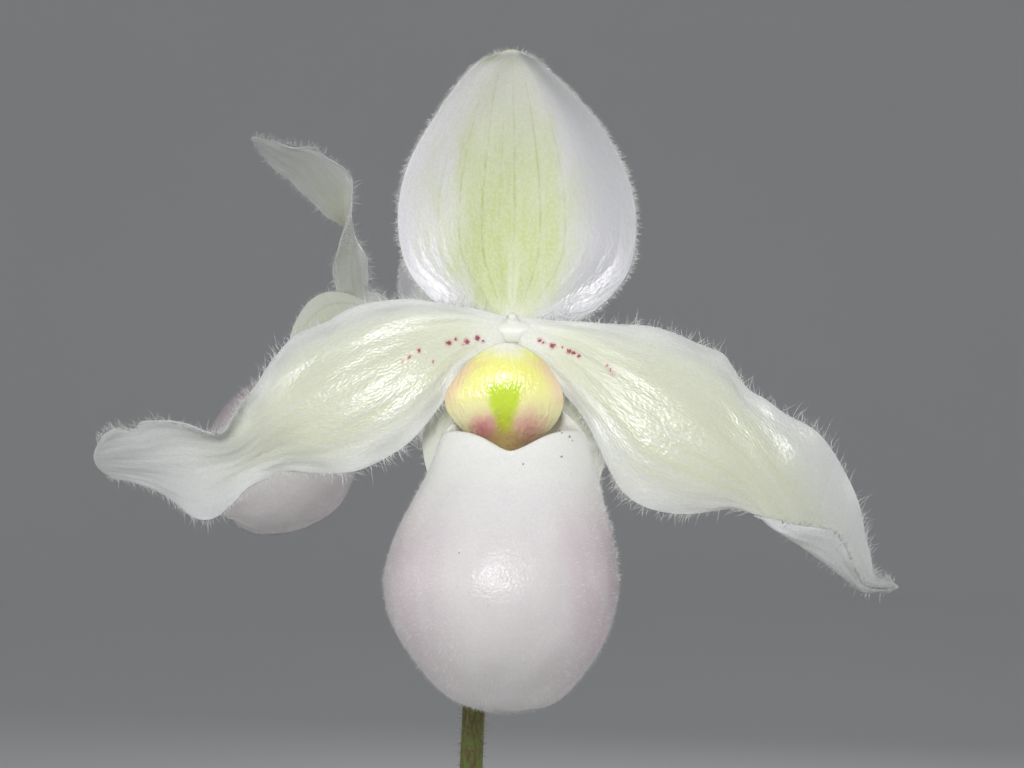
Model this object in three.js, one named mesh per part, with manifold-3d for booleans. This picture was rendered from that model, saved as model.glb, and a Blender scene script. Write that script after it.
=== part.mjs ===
// A slipper orchid in a plain plastic pot: a fan of six strap leaves, a young side shoot, and one stem
// with two open flowers and a bud. Millimetres, +Z up. The origin is the middle of the pot's foot, and
// the front flower faces -Y.
import * as THREE from 'three';
import { mergeVertices } from 'three/addons/utils/BufferGeometryUtils.js';
import Module from 'manifold-3d';

const wasm = await Module();
wasm.setup();

const SEAT = 0.3; // the gap kept where one piece grows from or rests on another
const UP = new THREE.Vector3(0, 0, 1);
const BACKWARDS = new THREE.Vector3(0, 1, 0);

// Pot
const POT_HEIGHT = 96;
const POT_WALL = 2;
const FOOT_RADIUS = 38;
const BODY_TOP_RADIUS = 50.5;
const BAND_BOTTOM = 73;
const BAND_STEP = 2.2;
const BAND_FLARE = 1;
const LIP_BOTTOM = 91.5;
const LIP_STEP = 1.6;
const EDGE = 1.1; // rounding of the pot's edges
const DRAINS = 6;
const DRAIN_RADIUS = 3.4;
const DRAIN_CIRCLE = 25;
const POT_SIDES = 36;
const FACET = Math.cos(Math.PI / POT_SIDES); // how far its flat sides cut inside the true circle

// Bark mix
const MIX_EDGE_HEIGHT = 82;
const MIX_CROWN_HEIGHT = 86;
const CHIPS = 62;
const CHIP_SIZE = [10.5, 7, 3.8];
const CHIP_TILT = 0.9; // how far chips lie out of level, in radians from side to side
const HOLE_FLOOR = 80; // leaves and stem stand in plain oval holes down to this height
const FAN_HOLE = [19, 11.8]; // half length and half width
const SHOOT_HOLE = [10, 7.6];

// Leaves: a flat fan, turned a little from the X axis. Rise and end are the midrib's slopes in degrees.
const FAN_TURN = -16;
const LEAF_THICKNESS = 1.6;
const LEAF_EDGE_SHARE = 0.65; // of the thickness is left at the leaf's margins
const LEAF_FOOT_HALF = 6.8;
const LEAF_FOLD = [24, 10]; // degrees that each half is folded up, at the foot and at the tip
const LEAF_TAPER_FROM = 0.66; // share of the length where the tip begins
const LEAVES = [
  { side: 1, length: 168, width: 38, rise: 60, end: -14, foot: 10.8, turn: -5, wave: 1.2 },
  { side: -1, length: 174, width: 39, rise: 58, end: -18, foot: 10.8, turn: 6, wave: 1.5 },
  { side: 1, length: 178, width: 40, rise: 69, end: 6, foot: 7.4, turn: 4, wave: 1 },
  { side: -1, length: 160, width: 39, rise: 68, end: 2, foot: 7.4, turn: -5, wave: 1.3 },
  { side: 1, length: 132, width: 35, rise: 76, end: 34, foot: 4.6, turn: -2, wave: 0.8 },
  { side: -1, length: 118, width: 33, rise: 77, end: 38, foot: 4.6, turn: 3, wave: 0.8 },
];

// Young shoot behind the fan
const SHOOT_PLACE = new THREE.Vector2(9, 29);
const SHOOT_TURN = 158;
const SHOOT_FOOT_HALF = 4.4;
const SHOOT_THICKNESS_SHARE = 0.8;
const SHOOT_LEAVES = [
  { side: 1, length: 74, width: 22, rise: 66, end: 22, foot: 4.4, turn: 6, wave: 0.5 },
  { side: -1, length: 62, width: 20, rise: 70, end: 34, foot: 4.4, turn: -4, wave: 0.5 },
  { side: 1, length: 46, width: 14, rise: 80, end: 62, foot: 1.5, turn: 0, wave: 0.3 },
];

// Stem, from the middle of the fan to the bud at its tip
const STEM_POINTS = [
  [0, 0, 80.3],
  [-0.5, 4, 120],
  [-3, 9, 180],
  [-6, 10, 240],
  [-4.5, 6.5, 290],
  [-0.5, 9.5, 315],
  [2.5, 12, 334],
];
const STEM_FOOT_RADIUS = 2.3;
const STEM_TIP_RADIUS = 1.3;
const FRONT_NODE = 4 / 6; // where each flower grows from the stem, as a share of its points
const REAR_NODE = 5 / 6;
const BUD_LENGTH = 15;
const BUD_RADIUS = 3.1;

// Flowers. In a flower's own frame x is to the viewer's right, y goes back and z is up.
const FRONT_PLACE = [0, -36, 330];
const REAR_PLACE = [-16.5, 48, 332.5];
const REAR_SCALE = 0.95;
const REAR_FACING = [-0.5, 0.86, -0.1];
const REAR_ROLL = 44; // degrees that the rear flower is tipped, its right petal upwards
// Degrees that each flower's blades lean from their rails, towards its right petal
const FRONT_LEANS = { dorsal: 0, lower: 0, left: 0 };
const REAR_LEANS = { dorsal: 18, lower: 22, left: -10 };
const BLADE_MIDDLE = 0.95; // thickness of petals and sepals
const BLADE_MARGIN = 0.65;
const POUCH_WALL = 0.95;
const OVARY_RADIUS = 2.5;
const OVARY_RIBS = 6;
const RIB_DEPTH = 0.07; // as a share of the ovary's radius
const OVARY_END = [0, 3.4, -2.2];
const COLUMN_RADIUS = 1.3;
const COLUMN_SWELL = 0.7; // how much wider it is where it meets the staminode
const COLUMN_POINTS = [[0, 3.1, -3.3], [0, 0, -4.2], [-0.5, -6.3, -7.5]];
const COLUMN_GAP = 0.4; // kept round the column where it passes the petals, sepals and pouch
const GAP_START = [0, 4.4, -3.2];
const STIGMA_SIZE = [2.5, 1.4, 2.6];
const STIGMA_PLACE = [-0.5, -4, -8];
const STIGMA_TILT = 35;
const BRACT_LENGTH = 0.4; // share of the ovary that the bract runs along
const BRACT_THICKNESS = 0.7;
const BRACT_GAP = 1.1; // between the ovary and the middle of the bract's thickness
const BRACT_SPREAD = 105; // degrees that it wraps to each side

// Each blade follows three rails from root to tip: one margin, the midrib and the other margin
const DORSAL = [
  [[-2, 2.4, -0.4], [-7.4, 1.7, 1.2], [-11.6, 1.7, 5.6], [-12.9, 1.5, 11.4], [-11.8, 1, 17.6],
    [-8.2, 0.3, 23.8], [-4.5, -1.2, 28.3], [-1.2, -2.5, 29.8]],
  [[0, 2.6, -0.4], [0, 3.2, 2.4], [0.2, 3.8, 7], [0.3, 4.1, 12], [0.3, 3.8, 18], [0.2, 2.6, 24],
    [0.1, 0.2, 28.5], [0, -2.3, 30.1]],
  [[2, 2.4, -0.4], [8.2, 1.7, 0.5], [13, 1.7, 5.2], [14.1, 1.5, 11.4], [12.6, 1, 17.6],
    [8.9, 0.3, 23.5], [4, -1.2, 28.1], [1, -2.5, 29.8]],
];
const LOWER_SEPAL = [
  [[-1.8, 2.2, -4.6], [-6.4, 2.6, -6.8], [-9.7, 3.2, -11], [-10, 4.3, -16], [-7.6, 6, -21.5],
    [-3.6, 7.7, -26], [-0.6, 8.4, -27.6]],
  [[0, 2.4, -4.6], [0, 4, -8], [0, 5.5, -12.5], [0, 6.7, -17], [0, 7.7, -21.5], [0, 8.3, -25.5],
    [0, 8.5, -27.9]],
  [[1.8, 2.2, -4.6], [6.4, 2.6, -6.8], [9.9, 3.2, -11], [10.6, 4.3, -16], [8.2, 6, -21.5],
    [3.8, 7.7, -26], [0.6, 8.4, -27.6]],
];
const PETAL_LEFT = [
  [[-0.6, 0, -2.6], [-5.3, -1.3, -5.4], [-8.4, -2, -10.1], [-12.8, -2.3, -14.6], [-19, -1.8, -17],
    [-24.6, 0.2, -16.8], [-29.3, -0.4, -18.6], [-34, -2.2, -22.2], [-40.2, 0.2, -18.9],
    [-46.1, 0.4, -17.3]],
  [[-0.4, 0.2, -1.2], [-6.4, -1, -2.2], [-11.4, -2.2, -4.3], [-17, -2.7, -7.1], [-22.6, -2.4, -10.1],
    [-26.9, -1.4, -12.3], [-31, -0.6, -14.9], [-36.1, -0.6, -15.7], [-41.7, -0.4, -15.6],
    [-46.8, -0.6, -15.5]],
  [[-0.4, 0.4, 0.6], [-6.9, 0, 1.9], [-14.2, 0.5, 2.5], [-20.4, 0.8, 0.4], [-25.6, 0.6, -2.6],
    [-28.8, -2.4, -7.6], [-32.1, -5.2, -12.5], [-38.9, -2.6, -11], [-44.3, -2.2, -11.9],
    [-46.4, -1.8, -13.8]],
];
const PETAL_RIGHT = [
  [[0.6, 0, -2.6], [4.8, -1.3, -7], [8.6, -2.2, -11.9], [12.3, -2.5, -19], [18.3, -2.2, -21.5],
    [24.1, -1.5, -20.9], [30, -3.6, -22.3], [35.3, -4.4, -23.2], [37.8, -3, -27],
    [39.6, -0.6, -29.6], [43.2, 0, -30.2]],
  [[0.4, 0.2, -1.2], [6.5, -1.1, -3.5], [12.1, -2.5, -7.1], [17.5, -3, -10.4], [22.4, -2.9, -13],
    [26.9, -2.7, -17], [30.9, -2.2, -22.2], [34.6, -1.5, -25.8], [37.5, -0.6, -28.2], [39.8, 0, -29.9],
    [43.4, 0, -29.8]],
  [[0.4, 0.4, 0.6], [8, 0.1, -0.1], [14.9, 0.4, -0.5], [22, 1.2, -2.7], [25.3, 1, -5.2],
    [29.5, -1.4, -9.6], [34.3, -1.9, -12.7], [38, -1.5, -18.6], [39.9, -0.2, -24.9], [40.8, 0.2, -28.4],
    [43.2, 0, -29.3]],
];
// The rear flower's right petal: swept back, raised and half twisted
const PETAL_RAISED = [
  [[0.6, 0, -2.6], [5.2, -0.6, -6.6], [11.2, 0.8, -6.4], [18, 9.4, -6.2], [21.9, 17, -4.2],
    [26.7, 21.8, -0.2], [33.8, 23, -1.3], [38.3, 23.4, -4.8], [42.9, 22.3, -7.3]],
  [[0.4, 0.2, -1.2], [4.8, -0.8, -3.5], [10.2, 0.8, -4], [15.8, 6.6, -3.3], [20.4, 11.8, -1.3],
    [25.9, 16.2, -0.9], [32.9, 19.1, -2.5], [37.7, 20.9, -5.4], [42.3, 22, -7.5]],
  [[0.4, 0.4, 0.6], [5.9, -1, 0.8], [8.9, -0.8, -0.4], [12.8, 3.9, 0.8], [18.8, 6.3, 1.3],
    [24.9, 11, -2.3], [31.7, 15, -4.3], [36.9, 18.2, -6.4], [41.7, 21.7, -7.6]],
];

// Pouch: level sections from the claw under the column down to the toe
const POUCH_LEVELS = [-4.4, -8, -13, -16.2, -19.4, -23.2, -27.5, -31.2, -34.8, -38.4, -40.9, -41.9];
const POUCH_HALF_WIDTHS = [3.4, 5.7, 8, 9, 10.2, 11.6, 12.5, 12, 10.5, 7.9, 4.8, 0.3];
const POUCH_FRONTS = [-6, -10.5, -13.6, -16.6, -19.3, -21.7, -22.9, -22.5, -20.9, -17.8, -14.6, -10.8];
const POUCH_BACKS = [1.5, 1.2, 0.6, 0, -0.2, 0.3, 0.8, 0.4, -0.6, -3.4, -6.6, -11];
const POUCH_LEANS = [0, 0.2, 0.2, 0.1, -0.4, -0.8, -1.1, -1.1, -0.9, -0.8, -0.6, -0.5];
// Height of the pouch's mouth at every 30 degrees from the front, towards the viewer's right
const MOUTH_HEIGHTS = [-12.5, -12.2, -12.2, -12.5, -10.6, -7, -5.2, -7, -10.6, -12.5, -12.3, -12.3];
const NOTCH_ANGLE = -3;
const NOTCH_DEPTH = 1.8;
const NOTCH_WIDTHS = [22, 26]; // degrees, to its left and right
const NOTCH_POINT = 1.5; // lower is sharper

// Staminode: the shield in front of the column, its outline as radii every 30 degrees from the top
const SHIELD_MIDDLE = [-0.8, -7.4, -8.8];
const SHIELD_RADII = [6.3, 6.1, 6.05, 6.4, 5.95, 5.4, 5.6, 5.2, 5.7, 6.5, 5.8, 5.85];
const SHIELD_LEAN = -6; // degrees that its foot stands forward of its top
const SHIELD_CROWN = 2.3;
const SHIELD_THICKNESS = 1.3;
const SHIELD_GROOVE = 0.8;

const radians = THREE.MathUtils.degToRad;
const smooth = THREE.MathUtils.smoothstep;
const vector = (place) => new THREE.Vector3(...place);

const finish = (color, roughness) => new THREE.MeshStandardMaterial({ color, roughness, metalness: 0 });
const MATERIALS = {
  pot: finish(0x6d1730, 0.28),
  bark: finish(0x5a3a24, 0.85),
  leaf: finish(0x3f6b35, 0.45),
  stem: finish(0x6f7d3c, 0.6),
  bract: finish(0x8a9a55, 0.6),
  sepal: finish(0xdfe8c2, 0.5),
  petal: finish(0xf1f2e6, 0.45),
  pouch: finish(0xf3e9ea, 0.45),
  staminode: finish(0xe9e04a, 0.3),
};

// Values of a list read as a smooth curve, t from 0 to 1
function along(values, t) {
  const last = values.length - 1;
  const at = Math.min(Math.max(t, 0), 1) * last;
  const i = Math.min(Math.floor(at), last - 1);
  const f = at - i;
  const before = i > 0 ? values[i - 1] : 2 * values[0] - values[1];
  const after = i + 2 <= last ? values[i + 2] : 2 * values[last] - values[last - 1];
  return cubic(before, values[i], values[i + 1], after, f);
}

// The same for a list that goes round, turn in degrees
function around(values, turn) {
  const n = values.length;
  const at = (((turn % 360) + 360) % 360) * (n / 360);
  const i = Math.floor(at);
  const pick = (k) => values[(i + k + n) % n];
  return cubic(pick(-1), pick(0), pick(1), pick(2), at - i);
}

function cubic(a, b, c, d, f) {
  const slopeIn = (c - a) / 2;
  const slopeOut = (d - b) / 2;
  return b + slopeIn * f + (3 * (c - b) - 2 * slopeIn - slopeOut) * f ** 2 +
    (2 * (b - c) + slopeIn + slopeOut) * f ** 3;
}

const curveOf = (points) => new THREE.CatmullRomCurve3(points.map(vector), false, 'catmullrom', 0.5);

// One closed surface with welded corners, its faces pointing out
function weld(geometry) {
  const bare = geometry.index ? geometry.toNonIndexed() : geometry.clone();
  for (const name of Object.keys(bare.attributes)) if (name !== 'position') bare.deleteAttribute(name);
  const merged = mergeVertices(bare, 1e-3);
  const at = (k) => new THREE.Vector3().fromBufferAttribute(merged.attributes.position, k);
  const corners = [];
  let volume = 0;
  for (let k = 0; k < merged.index.count; k += 3) {
    const [a, b, c] = [0, 1, 2].map((n) => merged.index.getX(k + n));
    if (a === b || b === c || a === c) continue;
    corners.push(a, b, c);
    volume += at(a).dot(at(b).cross(at(c)));
  }
  merged.setIndex(volume < 0 ? corners.reverse() : corners);
  return merged;
}

function geometryFrom(points, corners) {
  const geometry = new THREE.BufferGeometry().setFromPoints(points);
  geometry.setIndex(corners);
  return weld(geometry);
}

function solidOf(geometry) {
  const welded = weld(geometry);
  return new wasm.Manifold(new wasm.Mesh({
    numProp: 3,
    vertProperties: new Float32Array(welded.attributes.position.array),
    triVerts: new Uint32Array(welded.index.array),
  }));
}

function geometryOf(solid) {
  const { vertProperties, triVerts } = solid.getMesh();
  const geometry = new THREE.BufferGeometry();
  geometry.setAttribute('position', new THREE.BufferAttribute(vertProperties, 3));
  geometry.setIndex(new THREE.BufferAttribute(triVerts, 1));
  return geometry;
}

const largest = (solid) => solid.decompose().sort((a, b) => b.volume() - a.volume())[0];

// geometry with each cutter taken away; scraps are dropped
function carved(geometry, ...cutters) {
  const left = cutters.reduce((solid, cutter) => solid.subtract(solidOf(cutter)), solidOf(geometry));
  return geometryOf(largest(left));
}

function joined(...geometries) {
  return geometryOf(geometries.map(solidOf).reduce((whole, piece) => whole.add(piece)));
}

// A closed blade round the surface at(u, v), u from root to tip and v from -1 to 1 across.
// Both faces are split into triangles alike.
function blade(at, thickness, rows, columns) {
  const step = 0.01;
  const front = [];
  const back = [];
  for (let i = 0; i <= rows; i++) {
    for (let j = 0; j <= columns; j++) {
      const u = i / rows;
      const v = (2 * j) / columns - 1;
      const lengthways = at(Math.min(u + step, 1), v).sub(at(Math.max(u - step, 0), v));
      const across = at(u, Math.min(v + step, 1)).sub(at(u, Math.max(v - step, -1)));
      const half = lengthways.cross(across).setLength(thickness(v) / 2);
      front.push(at(u, v).add(half));
      back.push(at(u, v).sub(half));
    }
  }
  const wide = columns + 1;
  const n = front.length;
  const corners = [];
  const quad = (a, b, c, d) => corners.push(a, b, c, a, c, d);
  for (let i = 0; i < rows; i++) {
    for (let j = 0; j < columns; j++) {
      const a = i * wide + j;
      const [b, c, d] = [a + wide, a + wide + 1, a + 1];
      quad(a, b, c, d);
      corners.push(n + a, n + c, n + b, n + a, n + d, n + c);
    }
    const [a, b] = [i * wide, (i + 1) * wide];
    const [c, d] = [a + columns, b + columns];
    quad(a, n + a, n + b, b);
    quad(c, d, n + d, n + c);
  }
  for (let j = 0; j < columns; j++) {
    const tip = rows * wide + j;
    quad(j, j + 1, n + j + 1, n + j);
    quad(tip, n + tip, n + tip + 1, tip + 1);
  }
  return geometryFrom([...front, ...back], corners);
}

// A closed solid through rings of points, each end closed on its own middle
function loft(rings) {
  const sides = rings[0].length;
  const points = rings.flat();
  const corners = [];
  for (let i = 0; i + 1 < rings.length; i++) {
    for (let j = 0; j < sides; j++) {
      const [a, b] = [i * sides + j, i * sides + ((j + 1) % sides)];
      corners.push(a, b, b + sides, a, b + sides, a + sides);
    }
  }
  const middle = (ring) => ring.reduce((sum, p) => sum.add(p), new THREE.Vector3()).divideScalar(sides);
  const [first, last] = [points.length, points.length + 1];
  const top = (rings.length - 1) * sides;
  points.push(middle(rings[0]), middle(rings[rings.length - 1]));
  for (let j = 0; j < sides; j++) {
    const k = (j + 1) % sides;
    corners.push(first, k, j, last, top + j, top + k);
  }
  return geometryFrom(points, corners);
}

// A tube of changing radius along a curve, with optional ribs
function tube(curve, radiusAt, sides, steps, ribs = 0, ribDepth = 0) {
  const frames = curve.computeFrenetFrames(steps, false);
  const rings = [];
  for (let i = 0; i <= steps; i++) {
    const centre = curve.getPointAt(i / steps);
    rings.push(Array.from({ length: sides }, (_, j) => {
      const turn = (2 * Math.PI * j) / sides;
      const radius = radiusAt(i / steps) * (1 + ribDepth * Math.cos(ribs * turn));
      return centre.clone()
        .addScaledVector(frames.normals[i], radius * Math.cos(turn))
        .addScaledVector(frames.binormals[i], radius * Math.sin(turn));
    }));
  }
  return loft(rings);
}

function lathed(profile, sides) {
  const points = profile.map(([r, z]) => new THREE.Vector2(r, z));
  return new THREE.LatheGeometry(points, sides).rotateX(Math.PI / 2);
}

function node(name, geometry, material) {
  const shown = geometry.clone();
  shown.computeVertexNormals();
  const mesh = new THREE.Mesh(shown, material);
  mesh.name = name;
  return mesh;
}

// Outer radius of the pot's body at a height below the band
const bodyRadius = (z) => FOOT_RADIUS + ((BODY_TOP_RADIUS - FOOT_RADIUS) * z) / BAND_BOTTOM;

function pot() {
  const band = BODY_TOP_RADIUS + BAND_STEP;
  const lip = band + BAND_FLARE + LIP_STEP;
  const shell = lathed([
    [0, 0], [FOOT_RADIUS - EDGE, 0], [FOOT_RADIUS, EDGE],
    [BODY_TOP_RADIUS, BAND_BOTTOM], [band, BAND_BOTTOM + EDGE], [band + BAND_FLARE, LIP_BOTTOM],
    [lip, LIP_BOTTOM + EDGE], [lip, POT_HEIGHT - EDGE], [lip - EDGE, POT_HEIGHT],
    [lip - LIP_STEP - POT_WALL + EDGE, POT_HEIGHT], [lip - LIP_STEP - POT_WALL, POT_HEIGHT - EDGE],
    [band - POT_WALL, BAND_BOTTOM + EDGE + POT_WALL], [BODY_TOP_RADIUS - POT_WALL, BAND_BOTTOM + EDGE],
    [bodyRadius(POT_WALL) - POT_WALL, POT_WALL], [0, POT_WALL],
  ], POT_SIDES);
  const drains = Array.from({ length: DRAINS }, (_, k) => {
    const turn = (2 * Math.PI * k) / DRAINS;
    return new THREE.CylinderGeometry(DRAIN_RADIUS, DRAIN_RADIUS, 3 * POT_WALL, 10)
      .rotateX(Math.PI / 2)
      .translate(DRAIN_CIRCLE * Math.cos(turn), DRAIN_CIRCLE * Math.sin(turn), 0);
  });
  return node('pot', carved(shell, ...drains), MATERIALS.pot);
}

// A repeatable stream of random numbers from 0 to 1
function randomFrom(seed) {
  let state = seed;
  return () => {
    state = (state * 1664525 + 1013904223) % 4294967296;
    return state / 4294967296;
  };
}

// Bark chips lie over the whole surface, spaced by the golden angle, half sunk in the mix
function barkMix() {
  const room = FACET * (bodyRadius(BAND_BOTTOM) - POT_WALL) - SEAT;
  const floor = POT_WALL + SEAT;
  const bed = lathed([
    [0, floor], [FACET * (bodyRadius(floor) - POT_WALL) - SEAT, floor],
    [room, BAND_BOTTOM], [room, MIX_EDGE_HEIGHT], [room * 0.6, MIX_EDGE_HEIGHT + 2.6],
    [0, MIX_CROWN_HEIGHT],
  ], POT_SIDES);
  const inside = new THREE.CylinderGeometry(room, room, POT_HEIGHT, POT_SIDES)
    .rotateX(Math.PI / 2).translate(0, 0, POT_HEIGHT / 2);
  const random = randomFrom(7);
  const chips = Array.from({ length: CHIPS }, (_, k) => {
    const share = Math.sqrt((k + 0.5) / CHIPS);
    const turn = k * radians(137.5);
    const sizes = CHIP_SIZE.map((size) => size * (0.75 + 0.5 * random()));
    const chip = new THREE.BoxGeometry(...sizes);
    const corners = chip.attributes.position;
    const taper = 0.55 + 0.3 * random();
    for (let i = 0; i < corners.count; i++)
      if (corners.getX(i) > 0) corners.setY(i, corners.getY(i) * taper);
    return chip
      .rotateX((random() - 0.5) * CHIP_TILT).rotateY((random() - 0.5) * CHIP_TILT)
      .rotateZ(random() * Math.PI * 2)
      .translate(share * room * Math.cos(turn), share * room * Math.sin(turn),
        MIX_CROWN_HEIGHT - (MIX_CROWN_HEIGHT - MIX_EDGE_HEIGHT) * share ** 2 + 0.8 * random());
  });
  const cover = geometryOf(solidOf(joined(...chips)).intersect(solidOf(inside)));
  return node('bark_mix', carved(joined(bed, cover), fanHole(), shootHole()), MATERIALS.bark);
}

// Plain upright hole of oval section
function hole(halfLength, halfWidth, turn, place) {
  const height = POT_HEIGHT - HOLE_FLOOR;
  return new THREE.CylinderGeometry(1, 1, height, 20).rotateX(Math.PI / 2)
    .scale(halfLength, halfWidth, 1).rotateZ(radians(turn))
    .translate(place.x, place.y, HOLE_FLOOR + height / 2);
}

const fanHole = () => hole(...FAN_HOLE, FAN_TURN, new THREE.Vector2());
const shootHole = () => hole(...SHOOT_HOLE, SHOOT_TURN, SHOOT_PLACE);

// A strap leaf whose midrib rises at one slope and bends evenly to another, its blade folded to a V
// that opens towards the tip
function leafSurface({ side, length, width, rise, end, foot, turn, wave }, footHalf, fanTurn, place) {
  const [from, bend] = [radians(rise), radians(end - rise)];
  const heading = radians(fanTurn + turn);
  const outward = new THREE.Vector3(side * Math.cos(heading), side * Math.sin(heading), 0);
  const sideways = UP.clone().cross(outward);
  const fan = new THREE.Vector3(side * Math.cos(radians(fanTurn)), side * Math.sin(radians(fanTurn)), 0);
  const root = fan.multiplyScalar(foot).add(new THREE.Vector3(place.x, place.y, HOLE_FLOOR + 2 * SEAT));
  return (u, v) => {
    const slope = from + bend * u;
    const reach = (length * (Math.sin(slope) - Math.sin(from))) / bend;
    const height = (length * (Math.cos(from) - Math.cos(slope))) / bend;
    const half = leafHalfWidth(u, width / 2, footHalf);
    const fold = radians(LEAF_FOLD[0] + (LEAF_FOLD[1] - LEAF_FOLD[0]) * smooth(u, 0.1, 0.7));
    const lift = half * Math.abs(v) * Math.sin(fold) + wave * v * v * Math.sin(11 * u + 2 * v);
    const normal = outward.clone().multiplyScalar(-Math.sin(slope)).addScaledVector(UP, Math.cos(slope));
    return root.clone()
      .addScaledVector(outward, reach).addScaledVector(UP, height)
      .addScaledVector(sideways, half * v * Math.cos(fold))
      .addScaledVector(normal, lift * smooth(u, -0.2, 0.1));
  };
}

function leafHalfWidth(u, half, footHalf) {
  const broad = footHalf + (half - footHalf) * smooth(u, 0, 0.5);
  const tip = Math.max(u - LEAF_TAPER_FROM, 0) / (1 - LEAF_TAPER_FROM);
  return broad * Math.sqrt(Math.max(1 - tip ** 2.3, 0.004));
}

const leafThickness = (v) => LEAF_THICKNESS * (1 - (1 - LEAF_EDGE_SHARE) * v * v);

function leaves() {
  return LEAVES.map((leaf, k) => node(`leaf_${k + 1}`,
    blade(leafSurface(leaf, LEAF_FOOT_HALF, FAN_TURN, new THREE.Vector2()), leafThickness, 17, 4),
    MATERIALS.leaf));
}

function shootLeaves() {
  const thickness = (v) => SHOOT_THICKNESS_SHARE * leafThickness(v);
  return SHOOT_LEAVES.map((leaf, k) => node(`shoot_leaf_${k + 1}`,
    blade(leafSurface(leaf, SHOOT_FOOT_HALF, SHOOT_TURN, SHOOT_PLACE), thickness, 11, 4),
    MATERIALS.leaf));
}

const STEM = curveOf(STEM_POINTS);

function stemTube(extra) {
  const radiusAt = (t) => STEM_FOOT_RADIUS + (STEM_TIP_RADIUS - STEM_FOOT_RADIUS) * t + extra;
  return tube(STEM, radiusAt, 8, 26);
}

function stem() {
  return node('flower_stem', stemTube(0), MATERIALS.stem);
}

// The bud stands on the tip of the stem, egg-shaped with a drawn-out point
function bud() {
  const tip = STEM.getPoint(1);
  const rings = Array.from({ length: 10 }, (_, i) => {
    const t = (i + 0.25) / 9.5;
    const radius = BUD_RADIUS * Math.sin(Math.PI * t ** 0.75) ** 0.8;
    return Array.from({ length: 10 }, (_, j) => {
      const turn = (2 * Math.PI * j) / 10;
      return new THREE.Vector3(tip.x + radius * Math.cos(turn) + 2.5 * t * t,
        tip.y + radius * Math.sin(turn) - 2 * t * t, tip.z + SEAT + BUD_LENGTH * t);
    });
  });
  return node('tip_bud', loft(rings), MATERIALS.bract);
}

// The smooth surface through three rails: v is -1 on the first, 0 on the second and 1 on the third
function railSurface(first, middle, third) {
  const rails = [first, middle, third].map(curveOf);
  return (u, v) => {
    const [a, m, b] = rails.map((rail) => rail.getPoint(u));
    const bow = a.clone().add(b).multiplyScalar(0.5).sub(m);
    return m.addScaledVector(b.clone().sub(a), v / 2).addScaledVector(bow, v * v);
  };
}

const bladeThickness = (v) => BLADE_MIDDLE + (BLADE_MARGIN - BLADE_MIDDLE) * v * v;

// Mouth height of the pouch at a turn from the front, with its notch
function mouthHeight(turn) {
  const turned = ((turn - NOTCH_ANGLE + 540) % 360) - 180;
  const off = Math.abs(turned / NOTCH_WIDTHS[turned < 0 ? 0 : 1]);
  return around(MOUTH_HEIGHTS, turn) - NOTCH_DEPTH * Math.exp(-(off ** NOTCH_POINT));
}

// Where on the pouch's levels a height lies, from 0 to 1
function levelShare(height) {
  let [low, high] = [0, 1];
  for (let k = 0; k < 30; k++) {
    const middle = (low + high) / 2;
    if (along(POUCH_LEVELS, middle) > height) low = middle;
    else high = middle;
  }
  return low;
}

// A point of the pouch's outer wall, moved inwards by inset; t is 0 at the mouth and 1 at the toe
function pouchPoint(turn, t, inset) {
  const start = levelShare(mouthHeight(turn));
  const share = start + (1 - start) * t;
  const [front, back] = [along(POUCH_FRONTS, share), along(POUCH_BACKS, share)];
  const [sine, cosine] = [Math.sin(radians(turn)), Math.cos(radians(turn))];
  const halfWidth = Math.max(along(POUCH_HALF_WIDTHS, share) - inset, 0.2);
  const depth = Math.max((back - front) / 2 - inset, 0.2);
  return new THREE.Vector3(along(POUCH_LEANS, share) + halfWidth * sine,
    (front + back) / 2 - depth * cosine,
    along(POUCH_LEVELS, share) + inset * smooth(share, 0.55, 1));
}

function pouch(sides, levels) {
  const ring = (t, inset) =>
    Array.from({ length: sides }, (_, j) => pouchPoint((360 * j) / sides, t, inset));
  const shares = Array.from({ length: levels + 1 }, (_, i) => i / levels);
  const inner = shares.map((t) => ring(1 - t, POUCH_WALL));
  const outer = shares.map((t) => ring(t, 0));
  return loft([...inner, ...outer]);
}

// The shield of the staminode and the column behind it, which carries the stigma
function staminode(sides) {
  const lean = radians(SHIELD_LEAN);
  const [x, y, z] = SHIELD_MIDDLE;
  const point = (share, j, front) => {
    const turn = (360 * j) / sides;
    const radius = around(SHIELD_RADII, turn) * share;
    const [right, up] = [radius * Math.sin(radians(turn)), radius * Math.cos(radians(turn))];
    const crown = SHIELD_CROWN * (1 - share ** 3);
    const groove = SHIELD_GROOVE * Math.exp(-((right / 1.3) ** 2)) * smooth(-up, -1, 4) * (1 - share ** 4);
    const forward = front ? crown - groove : -SHIELD_THICKNESS * (1 - share ** 6);
    return new THREE.Vector3(x + right, y + up * Math.sin(lean) - forward * Math.cos(lean),
      z + up * Math.cos(lean) + forward * Math.sin(lean));
  };
  const ring = (share, front) => Array.from({ length: sides }, (_, j) => point(share, j, front));
  const shield = loft([
    ...[0.3, 0.75, 0.97].map((share) => ring(share, false)),
    ...[1, 0.93, 0.8, 0.6, 0.38, 0.15].map((share) => ring(share, true)),
  ]);
  const column = tube(curveOf(COLUMN_POINTS), columnRadius, 10, 5);
  const stigma = new THREE.SphereGeometry(1, 10, 6).scale(...STIGMA_SIZE)
    .rotateX(radians(STIGMA_TILT)).translate(...STIGMA_PLACE);
  return joined(shield, column, stigma);
}

const columnRadius = (t) => COLUMN_RADIUS + COLUMN_SWELL * t;

const columnRoom = () =>
  tube(curveOf([GAP_START, ...COLUMN_POINTS.slice(1)]), (t) => columnRadius(t) + COLUMN_GAP, 12, 5);

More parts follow.
